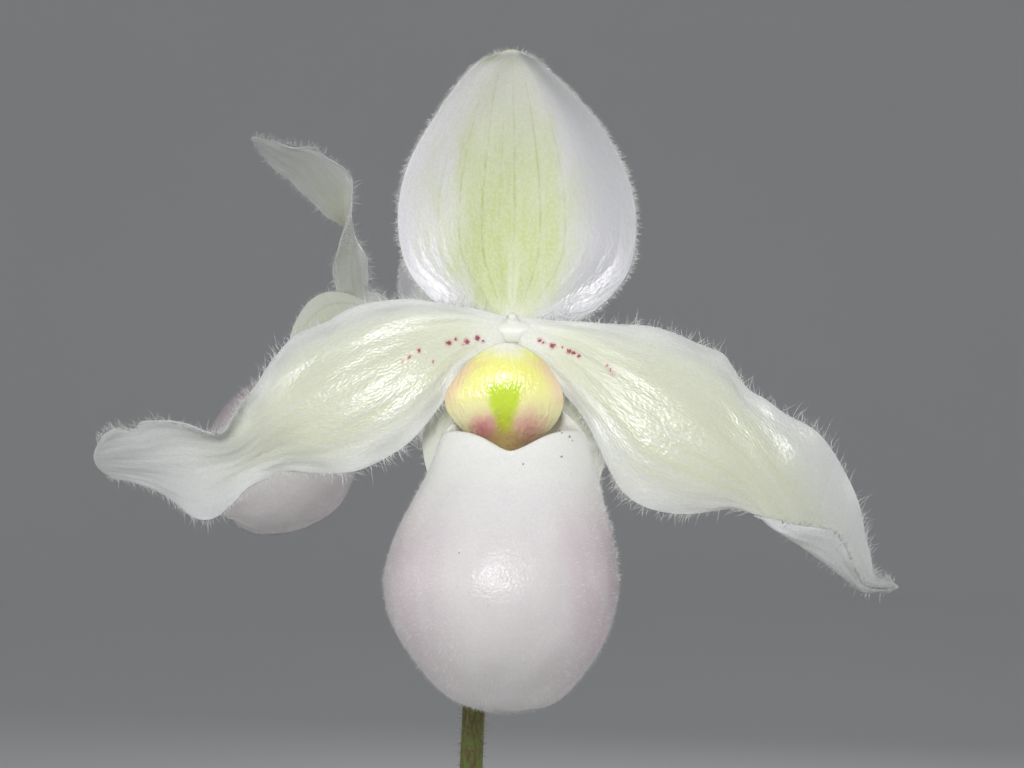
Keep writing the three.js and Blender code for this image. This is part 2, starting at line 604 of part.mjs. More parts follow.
// The ovary, ribbed and thickest past its middle, from the stem to the back of the flower
function ovaryCurve(root) {
  const end = vector(OVARY_END);
  const reach = root.distanceTo(end);
  const knee = end.clone().add(new THREE.Vector3(0, reach * 0.3, 0.2));
  const rise = root.clone().lerp(knee, 0.45).add(new THREE.Vector3(0, 0, reach * 0.05));
  return new THREE.CatmullRomCurve3([root, rise, knee, end], false, 'catmullrom', 0.5);
}

const ovaryRadius = (t) => OVARY_RADIUS * (0.55 + 0.45 * smooth(t, 0.15, 0.6));

// The bract clasps the foot of the ovary from below and runs out to a point
function bractSurface(curve) {
  return (u, v) => {
    const share = BRACT_LENGTH * u;
    const centre = curve.getPointAt(share);
    const heading = curve.getTangentAt(share);
    const sideways = heading.clone().cross(UP).normalize();
    const down = heading.clone().cross(sideways).negate();
    if (down.z > 0) down.negate();
    const spread = radians(BRACT_SPREAD) * v * (1 - 0.93 * u ** 1.6);
    const radius = ovaryRadius(share) + BRACT_GAP + 2.6 * u * u;
    return centre.addScaledVector(down, radius * Math.cos(spread))
      .addScaledVector(sideways, radius * Math.sin(spread));
  };
}

// The surface through a blade's rails, leaned about the flower's own axis
function bladeSurface(rails, lean = 0) {
  const surface = railSurface(...rails);
  return (u, v) => surface(u, v).applyAxisAngle(BACKWARDS, radians(-lean));
}

// One flower in its own frame. stemPoint is where its ovary grows from the stem, in the part's frame.
function flower(name, frame, stemPoint, rightRails, leans, fine) {
  const group = new THREE.Group();
  group.name = name;
  group.applyMatrix4(frame);
  const toFlower = frame.clone().invert();
  const root = stemPoint.clone().applyMatrix4(toFlower);
  const stemHere = stemTube(SEAT).applyMatrix4(toFlower);
  const ovary = ovaryCurve(root);
  const ovaryTube = tube(ovary, ovaryRadius, 12, 12, OVARY_RIBS, RIB_DEPTH);
  const clasp = blade(bractSurface(ovary), () => BRACT_THICKNESS, 7, 6);
  const room = columnRoom();
  const add = (piece, geometry, material) => group.add(node(`${name}_${piece}`, geometry, material));
  const leftPetal = bladeSurface(PETAL_LEFT, leans.left);
  const rightPetal = bladeSurface(rightRails);
  const dorsal = bladeSurface(DORSAL, leans.dorsal);
  const lower = bladeSurface(LOWER_SEPAL, leans.lower);
  const rows = (count) => Math.round(count * fine);

  add('ovary', carved(ovaryTube, stemHere), MATERIALS.stem);
  add('bract', carved(clasp, stemHere), MATERIALS.bract);
  add('dorsal_sepal', carved(blade(dorsal, bladeThickness, rows(14), 8), room), MATERIALS.sepal);
  add('lower_sepal', carved(blade(lower, bladeThickness, rows(10), 6), room), MATERIALS.sepal);
  add('petal_left', carved(blade(leftPetal, bladeThickness, rows(24), 6), room), MATERIALS.petal);
  add('petal_right', carved(blade(rightPetal, bladeThickness, rows(24), 6), room), MATERIALS.petal);
  add('pouch', carved(pouch(rows(24), rows(10)), room), MATERIALS.pouch);
  add('staminode', staminode(rows(20)), MATERIALS.staminode);
  return group;
}

// The frame of a flower at a place that faces a direction, tipped so that its right side rises by roll
function facing(place, direction, scale = 1, roll = 0) {
  const back = vector(direction).normalize().negate();
  const right = back.clone().cross(UP).normalize();
  const up = right.clone().cross(back);
  return new THREE.Matrix4().makeBasis(right, back, up)
    .multiply(new THREE.Matrix4().makeRotationY(radians(-roll)))
    .scale(new THREE.Vector3(scale, scale, scale)).setPosition(...place);
}

const plant = new THREE.Group();
plant.name = 'potted_slipper_orchid';
plant.add(pot(), barkMix(), ...leaves(), ...shootLeaves(), stem(), bud());
plant.add(flower('front', facing(FRONT_PLACE, [0, -1, 0]), STEM.getPoint(FRONT_NODE),
  PETAL_RIGHT, FRONT_LEANS, 1));
plant.add(flower('rear', facing(REAR_PLACE, REAR_FACING, REAR_SCALE, REAR_ROLL),
  STEM.getPoint(REAR_NODE), PETAL_RAISED, REAR_LEANS, 0.8));

export default plant;
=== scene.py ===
# A potted slipper orchid: fine petals, leaves, hairs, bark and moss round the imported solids, with their
# materials, and a plain studio. Sizes are in millimetres, in the part's frame, until a mesh is made.
import math

import bpy
import numpy as np
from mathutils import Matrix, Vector


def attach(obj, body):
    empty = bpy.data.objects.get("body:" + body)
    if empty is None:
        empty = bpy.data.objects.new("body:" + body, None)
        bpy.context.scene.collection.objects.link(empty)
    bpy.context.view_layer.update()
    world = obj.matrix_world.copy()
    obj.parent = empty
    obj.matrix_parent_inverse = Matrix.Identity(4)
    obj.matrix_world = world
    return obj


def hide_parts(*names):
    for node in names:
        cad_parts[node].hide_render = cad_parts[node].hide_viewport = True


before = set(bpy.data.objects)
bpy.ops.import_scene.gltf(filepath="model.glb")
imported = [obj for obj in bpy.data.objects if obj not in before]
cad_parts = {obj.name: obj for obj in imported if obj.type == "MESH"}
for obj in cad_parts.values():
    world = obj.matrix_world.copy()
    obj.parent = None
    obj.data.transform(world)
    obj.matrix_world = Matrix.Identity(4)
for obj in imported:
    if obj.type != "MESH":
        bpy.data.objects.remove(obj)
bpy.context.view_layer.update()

MM = 0.001
TURN = 2 * math.pi
UP = np.array([0.0, 0, 1])
BODY = "root"

# Seeds of the random numbers
SOLID_MIX_SEED = 7
MIX_SEED, STEM_SEED, BUD_SEED = 5, 21, 22
FRONT_SEED, REAR_SEED = 31, 32

# Camera: its place and lens follow the photograph
CAMERA_PLACE = (0, -243.5, 323)
LENS = 65
SENSOR = 36

# Studio: a floor that curves up into a wall, a key light on the bloom and three soft lights on the plant
FLOOR_HEIGHT = -0.3
FLOOR_RADIUS = 2600
COVE_RADIUS = 900
WALL_HEIGHT = 1500
BLOOM_MIDDLE = (0, -40, 325)
PLANT_MIDDLE = (0, 0, 200)
KEY_PLACE = (-20, -365, 398)
KEY_POWER = 3.55
KEY_CONE = 22
KEY_SIZE = 32
SOFT_LIGHTS = [("fill_left", (-900, -500, 600), 1.9), ("fill_right", (950, -100, 500), 1.7),
               ("back", (200, 950, 800), 4)]
SOFT_SIZE = 700
AIR_COLOUR = (0.95, 0.97, 1, 1)
AIR_STRENGTH = 0.22

# Pot
POT_HEIGHT = 96
POT_WALL = 2
FOOT_RADIUS = 38
BODY_TOP_RADIUS = 50.5
BAND_BOTTOM = 73
BAND_STEP = 2.2
BAND_FLARE = 1
LIP_BOTTOM = 91.5
LIP_STEP = 1.6
POT_EDGE = 1.0
DRAINS = 6
DRAIN_RADIUS = 3.4
DRAIN_CIRCLE = 25
POT_SIDES = 144
POT_CREASE = 40

# Bark mix
MIX_EDGE_HEIGHT = 82
MIX_CROWN_HEIGHT = 86
MIX_BED_DROP = 1.6
CHIPS = 62
CHIP_SIZE = (10.5, 7, 3.8)
CHIP_TILT = 0.9
CHIP_CREASE = 38
GOLDEN_ANGLE = math.radians(137.5)
CRUMBS = 230
CRUMB_SHARE = 0.52
PEBBLES = 34
MOSS_TUFTS = 26
MOSS_SPRIGS = 90
SPRIG_RADIUS = 0.28

# Leaves: the midrib rises at one slope and bends evenly to another, in degrees
FAN_TURN = -16
LEAF_THICKNESS = 1.6
LEAF_EDGE_SHARE = 0.65
LEAF_FOOT_HALF = 6.8
LEAF_FOOT_HEIGHT = 80.6
LEAF_FOLD = (24, 10)
LEAF_TAPER_FROM = 0.66
LEAVES = [
    dict(side=1, length=168, width=38, rise=60, end=-14, foot=10.8, turn=-5, wave=1.2),
    dict(side=-1, length=174, width=39, rise=58, end=-18, foot=10.8, turn=6, wave=1.5),
    dict(side=1, length=178, width=40, rise=69, end=6, foot=7.4, turn=4, wave=1),
    dict(side=-1, length=160, width=39, rise=68, end=2, foot=7.4, turn=-5, wave=1.3),
    dict(side=1, length=132, width=35, rise=76, end=34, foot=4.6, turn=-2, wave=0.8),
    dict(side=-1, length=118, width=33, rise=77, end=38, foot=4.6, turn=3, wave=0.8),
]
SHOOT_PLACE = np.array([9.0, 29])
SHOOT_TURN = 158
SHOOT_FOOT_HALF = 4.4
SHOOT_THICKNESS_SHARE = 0.8
SHOOT_LEAVES = [
    dict(side=1, length=74, width=22, rise=66, end=22, foot=4.4, turn=6, wave=0.5),
    dict(side=-1, length=62, width=20, rise=70, end=34, foot=4.4, turn=-4, wave=0.5),
    dict(side=1, length=46, width=14, rise=80, end=62, foot=1.5, turn=0, wave=0.3),
]

# Stem and bud
STEM_POINTS = [
    [0, 0, 80.3], [-0.5, 4, 120], [-3, 9, 180], [-6, 10, 240], [-4.5, 6.5, 290], [-0.5, 9.5, 315],
    [2.5, 12, 334],
]
STEM_FOOT_RADIUS = 2.3
STEM_TIP_RADIUS = 1.3
FRONT_NODE = 4 / 6
REAR_NODE = 5 / 6
BUD_LENGTH = 15
BUD_RADIUS = 3.1
BUD_GAP = 0.3
BUD_SIDES = 30
BUD_RINGS = 40

# Flowers. In a flower's own frame x is to the viewer's right, y goes back and z is up.
FRONT_PLACE = [0, -36, 330]
REAR_PLACE = [-16.5, 48, 332.5]
REAR_SCALE = 0.95
REAR_FACING = [-0.5, 0.86, -0.1]
REAR_ROLL = 44
REAR_FINENESS = 0.75
FRONT_LEANS = dict(dorsal=0, lower=0, left=0)
REAR_LEANS = dict(dorsal=18, lower=22, left=-10)
REAR_DORSAL_SHARE = 0.86
BLADE_MIDDLE = 0.95
BLADE_MARGIN = 0.42
TIP_THINNING = 0.4
# Nicks in a petal's margin: place along it, depth and width
TIP_NICK = (0.85, 0.17, 0.02)
SHOULDER_NICK = (0.435, 0.11, 0.035)
# A petal's raised ridge, and its hollow or swelling: height, place along, width along and place across
LEFT_FORM = (-0.5, (1.3, 0.6, 0.06, 0.66))
RIGHT_FORM = (0.15, (0.6, 0.57, 0.045, 0.66))
POUCH_WALL = 0.95
OVARY_RADIUS = 2.5
OVARY_RIBS = 6
RIB_DEPTH = 0.07
OVARY_END = np.array([0, 3.4, -2.2])
COLUMN_RADIUS = 1.3
COLUMN_SWELL = 0.7
COLUMN_POINTS = [[0, 3.1, -3.3], [0, 0, -4.2], [-0.5, -6.3, -7.5]]
STIGMA_SIZE = (2.5, 1.4, 2.6)
STIGMA_PLACE = (-0.5, -4, -8)
STIGMA_TILT = 35
BRACT_LENGTH = 0.4
BRACT_THICKNESS = 0.7
BRACT_GAP = 1.1
BRACT_SPREAD = 105

# Rows and columns of each kind of blade
LEAF_STEPS, YOUNG_LEAF_STEPS = (130, 30), (80, 24)
DORSAL_STEPS, LOWER_STEPS, PETAL_STEPS = (110, 80), (80, 50), (170, 56)

# Hairs of the blades: how many, and the greatest length
PETAL_FRINGE, PETAL_NAP = (800, 2.1), (420, 1.5)
DORSAL_FRINGE, DORSAL_NAP = (2400, 0.85), (900, 0.8)
SEPAL_FRINGE, SEPAL_NAP = (300, 1.1), (500, 0.9)
BRACT_FRINGE = (220, 1.1)
# Down: how many hairs, their least and greatest length, and their radius
POUCH_DOWN = (11000, 0.25, 0.5, 0.024)
OVARY_DOWN = (1700, 0.5, 1.3, 0.032)
STEM_DOWN = (4200, 0.5, 1.1, 0.035)
BUD_DOWN = (500, 0.4, 0.9, 0.03)

# Each blade follows three rails from root to tip: one margin, the midrib and the other margin
DORSAL = [
    [[-2, 2.4, -0.4], [-7.4, 1.7, 1.2], [-11.6, 1.7, 5.6], [-12.9, 1.5, 11.4], [-11.8, 1, 17.6],
     [-8.2, 0.3, 23.8], [-4.5, -1.2, 28.3], [-1.2, -2.5, 29.8]],
    [[0, 2.6, -0.4], [0, 3.2, 2.4], [0.2, 3.8, 7], [0.3, 4.1, 12], [0.3, 3.8, 18], [0.2, 2.6, 24],
     [0.1, 0.2, 28.5], [0, -2.3, 30.1]],
    [[2, 2.4, -0.4], [8.2, 1.7, 0.5], [13, 1.7, 5.2], [14.1, 1.5, 11.4], [12.6, 1, 17.6],
     [8.9, 0.3, 23.5], [4, -1.2, 28.1], [1, -2.5, 29.8]],
]
LOWER_SEPAL = [
    [[-1.8, 2.2, -4.6], [-6.4, 2.6, -6.8], [-9.7, 3.2, -11], [-10, 4.3, -16], [-7.6, 6, -21.5],
     [-3.6, 7.7, -26], [-0.6, 8.4, -27.6]],
    [[0, 2.4, -4.6], [0, 4, -8], [0, 5.5, -12.5], [0, 6.7, -17], [0, 7.7, -21.5], [0, 8.3, -25.5],
     [0, 8.5, -27.9]],
    [[1.8, 2.2, -4.6], [6.4, 2.6, -6.8], [9.9, 3.2, -11], [10.6, 4.3, -16], [8.2, 6, -21.5],
     [3.8, 7.7, -26], [0.6, 8.4, -27.6]],
]
PETAL_LEFT = [
    [[-0.6, 0, -2.6], [-5.3, -1.3, -5.4], [-8.4, -2, -10.1], [-12.8, -2.3, -14.6], [-19, -1.8, -17],
     [-24.6, 0.2, -16.8], [-29.3, -0.4, -18.6], [-34, -2.2, -22.2], [-40.2, 0.2, -18.9],
     [-46.1, 0.4, -17.3]],
    [[-0.4, 0.2, -1.2], [-6.4, -1, -2.2], [-11.4, -2.2, -4.3], [-17, -2.7, -7.1], [-22.6, -2.4, -10.1],
     [-26.9, -1.4, -12.3], [-31, -0.6, -14.9], [-36.1, -0.6, -15.7], [-41.7, -0.4, -15.6],
     [-46.8, -0.6, -15.5]],
    [[-0.4, 0.4, 0.6], [-6.9, 0, 1.9], [-14.2, 0.5, 2.5], [-20.4, 0.8, 0.4], [-25.6, 0.6, -2.6],
     [-28.8, -2.4, -7.6], [-32.1, -5.2, -12.5], [-38.9, -2.6, -11], [-44.3, -2.2, -11.9],
     [-46.4, -1.8, -13.8]],
]
PETAL_RIGHT = [
    [[0.6, 0, -2.6], [4.8, -1.3, -7], [8.6, -2.2, -11.9], [12.3, -2.5, -19], [18.3, -2.2, -21.5],
     [24.1, -1.5, -20.9], [30, -3.6, -22.3], [35.3, -4.4, -23.2], [37.8, -3, -27],
     [39.6, -0.6, -29.6], [43.2, 0, -30.2]],
    [[0.4, 0.2, -1.2], [6.5, -1.1, -3.5], [12.1, -2.5, -7.1], [17.5, -3, -10.4], [22.4, -2.9, -13],
     [26.9, -2.7, -17], [30.9, -2.2, -22.2], [34.6, -1.5, -25.8], [37.5, -0.6, -28.2], [39.8, 0, -29.9],
     [43.4, 0, -29.8]],
    [[0.4, 0.4, 0.6], [8, 0.1, -0.1], [14.9, 0.4, -0.5], [22, 1.2, -2.7], [25.3, 1, -5.2],
     [29.5, -1.4, -9.6], [34.3, -1.9, -12.7], [38, -1.5, -18.6], [39.9, -0.2, -24.9], [40.8, 0.2, -28.4],
     [43.2, 0, -29.3]],
]
PETAL_RAISED = [
    [[0.6, 0, -2.6], [5.2, -0.6, -6.6], [11.2, 0.8, -6.4], [18, 9.4, -6.2], [21.9, 17, -4.2],
     [26.7, 21.8, -0.2], [33.8, 23, -1.3], [38.3, 23.4, -4.8], [42.9, 22.3, -7.3]],
    [[0.4, 0.2, -1.2], [4.8, -0.8, -3.5], [10.2, 0.8, -4], [15.8, 6.6, -3.3], [20.4, 11.8, -1.3],
     [25.9, 16.2, -0.9], [32.9, 19.1, -2.5], [37.7, 20.9, -5.4], [42.3, 22, -7.5]],
    [[0.4, 0.4, 0.6], [5.9, -1, 0.8], [8.9, -0.8, -0.4], [12.8, 3.9, 0.8], [18.8, 6.3, 1.3],
     [24.9, 11, -2.3], [31.7, 15, -4.3], [36.9, 18.2, -6.4], [41.7, 21.7, -7.6]],
]

# Pouch: level sections from the claw under the column down to the toe
POUCH_LEVELS = [-4.4, -8, -13, -16.2, -19.4, -23.2, -27.5, -31.2, -34.8, -38.4, -40.9, -41.9]
POUCH_HALF_WIDTHS = [3.4, 5.7, 8, 9, 10.2, 11.6, 12.5, 12, 10.5, 7.9, 4.8, 0.3]
POUCH_FRONTS = [-6, -10.5, -13.6, -16.6, -19.3, -21.7, -22.9, -22.5, -20.9, -17.8, -14.6, -10.8]
POUCH_BACKS = [1.5, 1.2, 0.6, 0, -0.2, 0.3, 0.8, 0.4, -0.6, -3.4, -6.6, -11]
POUCH_LEANS = [0, 0.2, 0.2, 0.1, -0.4, -0.8, -1.1, -1.1, -0.9, -0.8, -0.6, -0.5]
MOUTH_HEIGHTS = [-12.5, -12.2, -12.2, -12.5, -10.6, -7, -5.2, -7, -10.6, -12.5, -12.3, -12.3]
NOTCH_ANGLE = -3
NOTCH_DEPTH = 1.8
NOTCH_WIDTHS = (22, 26)
NOTCH_POINT = 1.5
LIP_ROUND = 0.3

# Staminode: the shield's outline as radii every 30 degrees from the top
SHIELD_MIDDLE = (-0.8, -7.4, -8.8)
SHIELD_RADII = [6.3, 6.1, 6.05, 6.4, 5.95, 5.4, 5.6, 5.2, 5.7, 6.5, 5.8, 5.85]
SHIELD_LEAN = -6
SHIELD_CROWN = 2.3
SHIELD_THICKNESS = 1.3
SHIELD_GROOVE = 0.8
# The place on the shield whose colour its column takes: right, up and share
COLUMN_TONE = (5.5, 2.0, 1)
SHIELD_BACK = (0.15, 0.4, 0.65, 0.82, 0.93, 0.985)
SHIELD_FRONT = (1, 0.99, 0.97, 0.93, 0.87, 0.8, 0.7, 0.6, 0.5, 0.4, 0.3, 0.2, 0.1, 0.03)

# The middle of the flower: half sizes and places of its lumps
HUB_LUMPS = [((4.4, 0.78, 1.35), (0, 0.3, -1.15)), ((1.6, 1.8, 1.1), (0, 1.4, -0.9)),
             ((0.6, 0.7, 0.6), (0.06, 0.2, 0.5)), ((1.9, 3, 1.1), (-0.2, -2.2, -3.5))]
HUB_VOXEL = 0.11
HUB_ROUNDS = 30

# Red spots on the petals: x, z and radius in the flower's frame
SPOTS = [
    (-3.84, -1.89, 0.26), (-3.3, -2.2, 0.12), (-5.05, -2.27, 0.27), (-5.45, -2.6, 0.13),
    (-6.25, -2.02, 0.14), (-7.03, -2.43, 0.28), (-8.75, -4.57, 0.12), (-10.3, -3.33, 0.19),
    (-11.35, -4.04, 0.18), (-12.1, -4.49, 0.12), (3.1, -2.17, 0.2), (3.55, -2.36, 0.14),
    (4.54, -2.73, 0.29), (5.63, -2.86, 0.1), (6.38, -3.36, 0.24), (6.86, -3.5, 0.22),
    (7.44, -3.9, 0.17), (10.6, -4.96, 0.1), (10.9, -5.42, 0.11), (11.2, -5.91, 0.1),
]
SPOT_SHARE = 1.05
# Dark specks of pollen and dust on the pouch
POUCH_SPECKS = [(5.3, -12.2, 0.1), (6.1, -12.6, 0.13), (6.4, -13, 0.08), (5.2, -14.6, 0.11),
                (1.2, -15.3, 0.1), (6.2, -16.3, 0.07), (-5.3, -24, 0.07), (-2.6, -19, 0.06)]
# Veins: place across the blade, from -1 to 1, and strength
DORSAL_VEINS = [(-0.66, 0.3), (-0.48, 0.6), (-0.28, 1), (-0.13, 0.4), (0, 0.8), (0.22, 0.8),
                (0.43, 0.55), (0.62, 0.3)]
LOWER_VEINS = [(k / 5, 0.8) for k in range(-4, 5)]


# Curves and surfaces

def smooth(x, low, high):
    t = np.clip((np.asarray(x, float) - low) / (high - low), 0, 1)
    return t * t * (3 - 2 * t)


def bell(x, middle, width):
    return np.exp(-(((x - middle) / width) ** 2))


def unit(vectors):
    return vectors / np.maximum(np.linalg.norm(vectors, axis=-1, keepdims=True), 1e-9)


def stacked(*columns):
    """Points from their coordinates, each a number or an array."""
    return np.stack(np.broadcast_arrays(*columns), axis=-1)


def circle(sides):
    turns = np.arange(sides) * TURN / sides
    return turns, np.cos(turns), np.sin(turns)


def cubic(a, b, c, d, f):
    slope_in, slope_out = (c - a) / 2, (d - b) / 2
    return (b + slope_in * f + (3 * (c - b) - 2 * slope_in - slope_out) * f ** 2
            + (2 * (b - c) + slope_in + slope_out) * f ** 3)


def along(values, t):
    """Values or points of a list read as a smooth curve, t from 0 to 1."""
    values = np.asarray(values, float)
    padded = np.concatenate([[2 * values[0] - values[1]], values, [2 * values[-1] - values[-2]]])
    at = np.clip(t, 0, 1) * (len(values) - 1)
    i = np.minimum(at.astype(int), len(values) - 2)
    f = at - i
    if values.ndim > 1:
        f = f[..., None]
    return cubic(padded[i], padded[i + 1], padded[i + 2], padded[i + 3], f)


def around(values, turn):
    """The same for a list that goes round, turn in degrees."""
    values = np.asarray(values, float)
    n = len(values)
    at = np.mod(turn, 360) * n / 360
    i = at.astype(int)
    return cubic(values[(i - 1) % n], values[i % n], values[(i + 1) % n], values[(i + 2) % n], at - i)


def even_points(points, count, extent=1.0):
    """Points at even distances along a smooth curve, and the directions there."""
    t = np.linspace(0, 1, 800)
    fine = along(points, t)
    run = np.concatenate([[0], np.cumsum(np.linalg.norm(np.diff(fine, axis=0), axis=1))])
    share = np.interp(np.linspace(0, extent, count) * run[-1], run, t)
    headings = along(points, np.minimum(share + 1e-3, 1)) - along(points, np.maximum(share - 1e-3, 0))
    return along(points, share), unit(headings)


def rail_surface(rails, lean=0.0):
    """The surface through three rails, v from -1 to 1 across, leaned about the flower's own axis."""
    cosine, sine = math.cos(math.radians(lean)), math.sin(math.radians(lean))

    def at(u, v):
        a, m, b = (along(rail, u) for rail in rails)
        v = v[..., None]
        p = m + (b - a) * v / 2 + ((a + b) / 2 - m) * v * v
        x, y, z = np.moveaxis(p, -1, 0)
        return stacked(x * cosine - z * sine, y, x * sine + z * cosine)

    return at


def narrowed(at, share):
    return lambda u, v: at(u, v * share)


def nicked(at, place, depth, width):
    """The same surface with a small nick in its upper margin."""
    return lambda u, v: at(u, v * (1 - depth * bell(u, place, width) * (v > 0)))


def surface_normal(at, u, v):
    step = 0.004
    lengthways = at(np.clip(u + step, 0, 1), v) - at(np.clip(u - step, 0, 1), v)
    across = at(u, np.clip(v + step, -1, 1)) - at(u, np.clip(v - step, -1, 1))
    return unit(np.cross(lengthways, across)), unit(across)


# Meshes

def merged(*parts):
    """One mesh from several: each part is (points, faces, {attribute: values})."""
    points, faces, start = [], [], 0
    for part_points, part_faces, _ in parts:
        points.append(part_points)
        faces += [[k + start for k in face] for face in part_faces]
        start += len(part_points)
    fields = {key: np.concatenate([part[2][key] for part in parts]) for key in parts[0][2]}
    return np.concatenate(points), faces, fields


def store(mesh, key, values):
    values = np.asarray(values, np.float32)
    kind, field = ("FLOAT_VECTOR", "vector") if values.ndim == 2 else ("FLOAT", "value")
    mesh.attributes.new(key, kind, "POINT").data.foreach_set(field, values.ravel())


def placed(name, points, faces, material):
    """A smooth mesh object in the scene."""
    mesh = bpy.data.meshes.new(name)
    mesh.from_pydata((np.asarray(points) * MM).tolist(), [], faces)
    mesh.polygons.foreach_set("use_smooth", [True] * len(mesh.polygons))
    mesh.materials.append(material)
    made = bpy.data.objects.new(name, mesh)
    bpy.context.scene.collection.objects.link(made)
    return made


def piece(name, shape, material, slot, *nodes, crease=None):
    """An object that rides on the plant and stands for the nodes it replaces."""
    points, faces, fields = shape
    made = placed(name, points, faces, material)
    for key, values in fields.items():
        if key == "shade":
            made.data.normals_split_custom_set_from_vertices(values.tolist())
        else:
            store(made.data, key, values)
    if crease:
        made.data.set_sharp_from_angle(angle=math.radians(crease))
    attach(made, BODY)
    if nodes:
        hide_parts(*nodes)
    return made


def outward(points, faces):
    """The faces of a closed mesh, turned to point out."""
    volume = 0.0
    for width in {len(face) for face in faces}:
        corners = points[np.array([face for face in faces if len(face) == width])]
        for k in range(1, width - 1):
            volume += np.einsum("ij,ij->", corners[:, 0], np.cross(corners[:, k], corners[:, k + 1]))
    return [face[::-1] for face in faces] if volume < 0 else faces


def moved(shape, to_part):
    points, faces, fields = shape
    if "shade" in fields:
        fields = dict(fields, shade=unit(to_part(fields["shade"]) - to_part(np.zeros(3))))
    return to_part(points), faces, fields


def blade(at, thickness, rows, columns, front=1, relief=None, keel=None, veins=None):
    """A closed blade with rounded margins. front is 1 where its front is on the left of u and v."""
    extra = 1 - np.array([0.014, 0.009, 0.005, 0.002, 0])
    u = np.concatenate([np.linspace(0, 0.98, rows + 1 - len(extra)), extra])
    v = np.sin(np.linspace(-1, 1, columns + 1) * math.pi / 2)
    u, v = np.meshgrid(u, v, indexing="ij")
    w = v * (0.15 + 0.85 * np.sqrt(1 - np.clip((u - 0.97) / 0.03, 0, 1) ** 2))
    normal, _ = surface_normal(at, u, w)
    middle = at(u, w)
    if relief:
        middle = middle + normal * relief(u, w)[..., None]
    ends = np.sqrt(np.clip(np.minimum(u, 1 - u) / 0.012, 0, 1))
    half = thickness(v) / 2 * (1 - v * v) ** 0.2 * ends * (1 - TIP_THINNING * smooth(u, 0.84, 1))
    rib = keel(u, v) * ends if keel else 0 * u
    top = middle + normal * (half + rib * (front < 0))[..., None]
    bottom = middle - normal * (half + rib * (front > 0))[..., None]
    rim = np.ones_like(u, bool)
    rim[1:-1, 1:-1] = False
    top[rim] = middle[rim]
    upper = np.arange(u.size).reshape(u.shape)
    lower = upper.copy()
    lower[~rim] = u.size + np.arange((~rim).sum())
    faces = []
    for grid, order in ((upper, (0, 1, 2, 3)), (lower, (3, 2, 1, 0))):
        corners = [grid[:-1, :-1], grid[1:, :-1], grid[1:, 1:], grid[:-1, 1:]]
        faces += stacked(*[corners[k] for k in order]).reshape(-1, 4).tolist()
    points = np.concatenate([top.reshape(-1, 3), bottom[~rim]])
    side = np.where(rim, 0.0, front)
    form = np.concatenate([stacked(u, w, side).reshape(-1, 3), stacked(u, w, -side)[~rim]])
    vein = veins(u, w) if veins else w
    fields = dict(place=points, form=form, vein=np.concatenate([vein.ravel(), vein[~rim]]))
    return points, outward(points, faces), fields


def ring_faces(count, sides):
    grid = np.arange(count * sides).reshape(count, sides)
    after = np.roll(grid, -1, axis=1)
    return stacked(grid[:-1], after[:-1], after[1:], grid[1:]).reshape(-1, 4).tolist()


def loft(rings):
    """A closed solid through rings of points of shape (rings, sides, 3)."""
    count, sides, _ = rings.shape
    end = count * sides
    faces = ring_faces(count, sides)
    faces += [[end, (k + 1) % sides, k] for k in range(sides)]
    faces += [[end + 1, end - sides + k, end - sides + (k + 1) % sides] for k in range(sides)]
    points = np.concatenate([rings.reshape(-1, 3), [rings[0].mean(axis=0), rings[-1].mean(axis=0)]])
    return points, outward(points, faces)


def end_to_end(shares, turns):
    """Length and turn of each point of a loft along an axis, with its two end points."""
    form = stacked(np.repeat(shares, len(turns)), np.tile(turns, len(shares)), 1.0)
    return np.concatenate([form, [[0, 0, 1], [1, 0, 1]]])


def tube(points, radius_at, sides, steps, ribs=0, rib_depth=0.0):
    """A tube of changing radius along a curve, with optional ribs."""
    centres, headings = even_points(points, steps + 1)
    start = np.eye(3)[np.argmin(np.abs(headings[0]))]
    normal = np.cross(headings[0], unit(np.cross(headings[0], start)))
    turns, cosines, sines = circle(sides)
    shares = np.arange(steps + 1) / steps
    rings = []
    for share, centre, heading in zip(shares, centres, headings):
        normal = unit(normal - heading * normal.dot(heading))
        radius = radius_at(share) * (1 + rib_depth * np.cos(ribs * turns))
        ring = np.outer(cosines, normal) + np.outer(sines, np.cross(heading, normal))
        rings.append(centre + ring * radius[:, None])
    corners, faces = loft(np.array(rings))
    return corners, faces, dict(place=corners, form=end_to_end(shares, turns))


def tube_skin(points, radius_at, count, rng, low=0.02, high=0.98):
    """Random places on a tube and the directions out of it."""
    centres, headings = even_points(points, 400)
    share = rng.uniform(low, high, count)
    k = (share * 399).astype(int)
    way = unit(np.cross(headings[k], rng.normal(size=(count, 3))))
    radii = np.array([radius_at(s) for s in share])
    return centres[k] + way * radii[:, None], way


def profile_rings(profile, sides):
    _, cosines, sines = circle(sides)
    return np.array([stacked(cosines * r, sines * r, z) for r, z in profile])


def lathed(profile, sides):
    """A profile of (radius, height) turned round the upright axis, its ends on the axis."""
    corners, faces = loft(profile_rings(profile[1:-1], sides))
    corners[-2:] = [[0, 0, profile[0][1]], [0, 0, profile[-1][1]]]
    return corners, faces


def rounded(profile, radius, steps=5):
    """A profile with its inner corners rounded."""
    out = [profile[0]]
    for a, b, c in zip(profile, profile[1:], profile[2:]):
        a, b, c = (np.array(p, float) for p in (a, b, c))
        into, away = a - b, c - b
        cut = min(radius, 0.45 * np.linalg.norm(into), 0.45 * np.linalg.norm(away))
        start, end = b + unit(into) * cut, b + unit(away) * cut
        for t in np.arange(steps + 1) / steps:
            out.append(tuple((1 - t) ** 2 * start + 2 * t * (1 - t) * b + t * t * end))
    return out + [profile[-1]]


def ball(ups):
    """A ball of radius 1 with rings at the given turns from its top."""
    _, cosines, sines = circle(24)
    return loft(np.array([stacked(math.sin(a) * cosines, math.sin(a) * sines, math.cos(a)) for a in ups]))


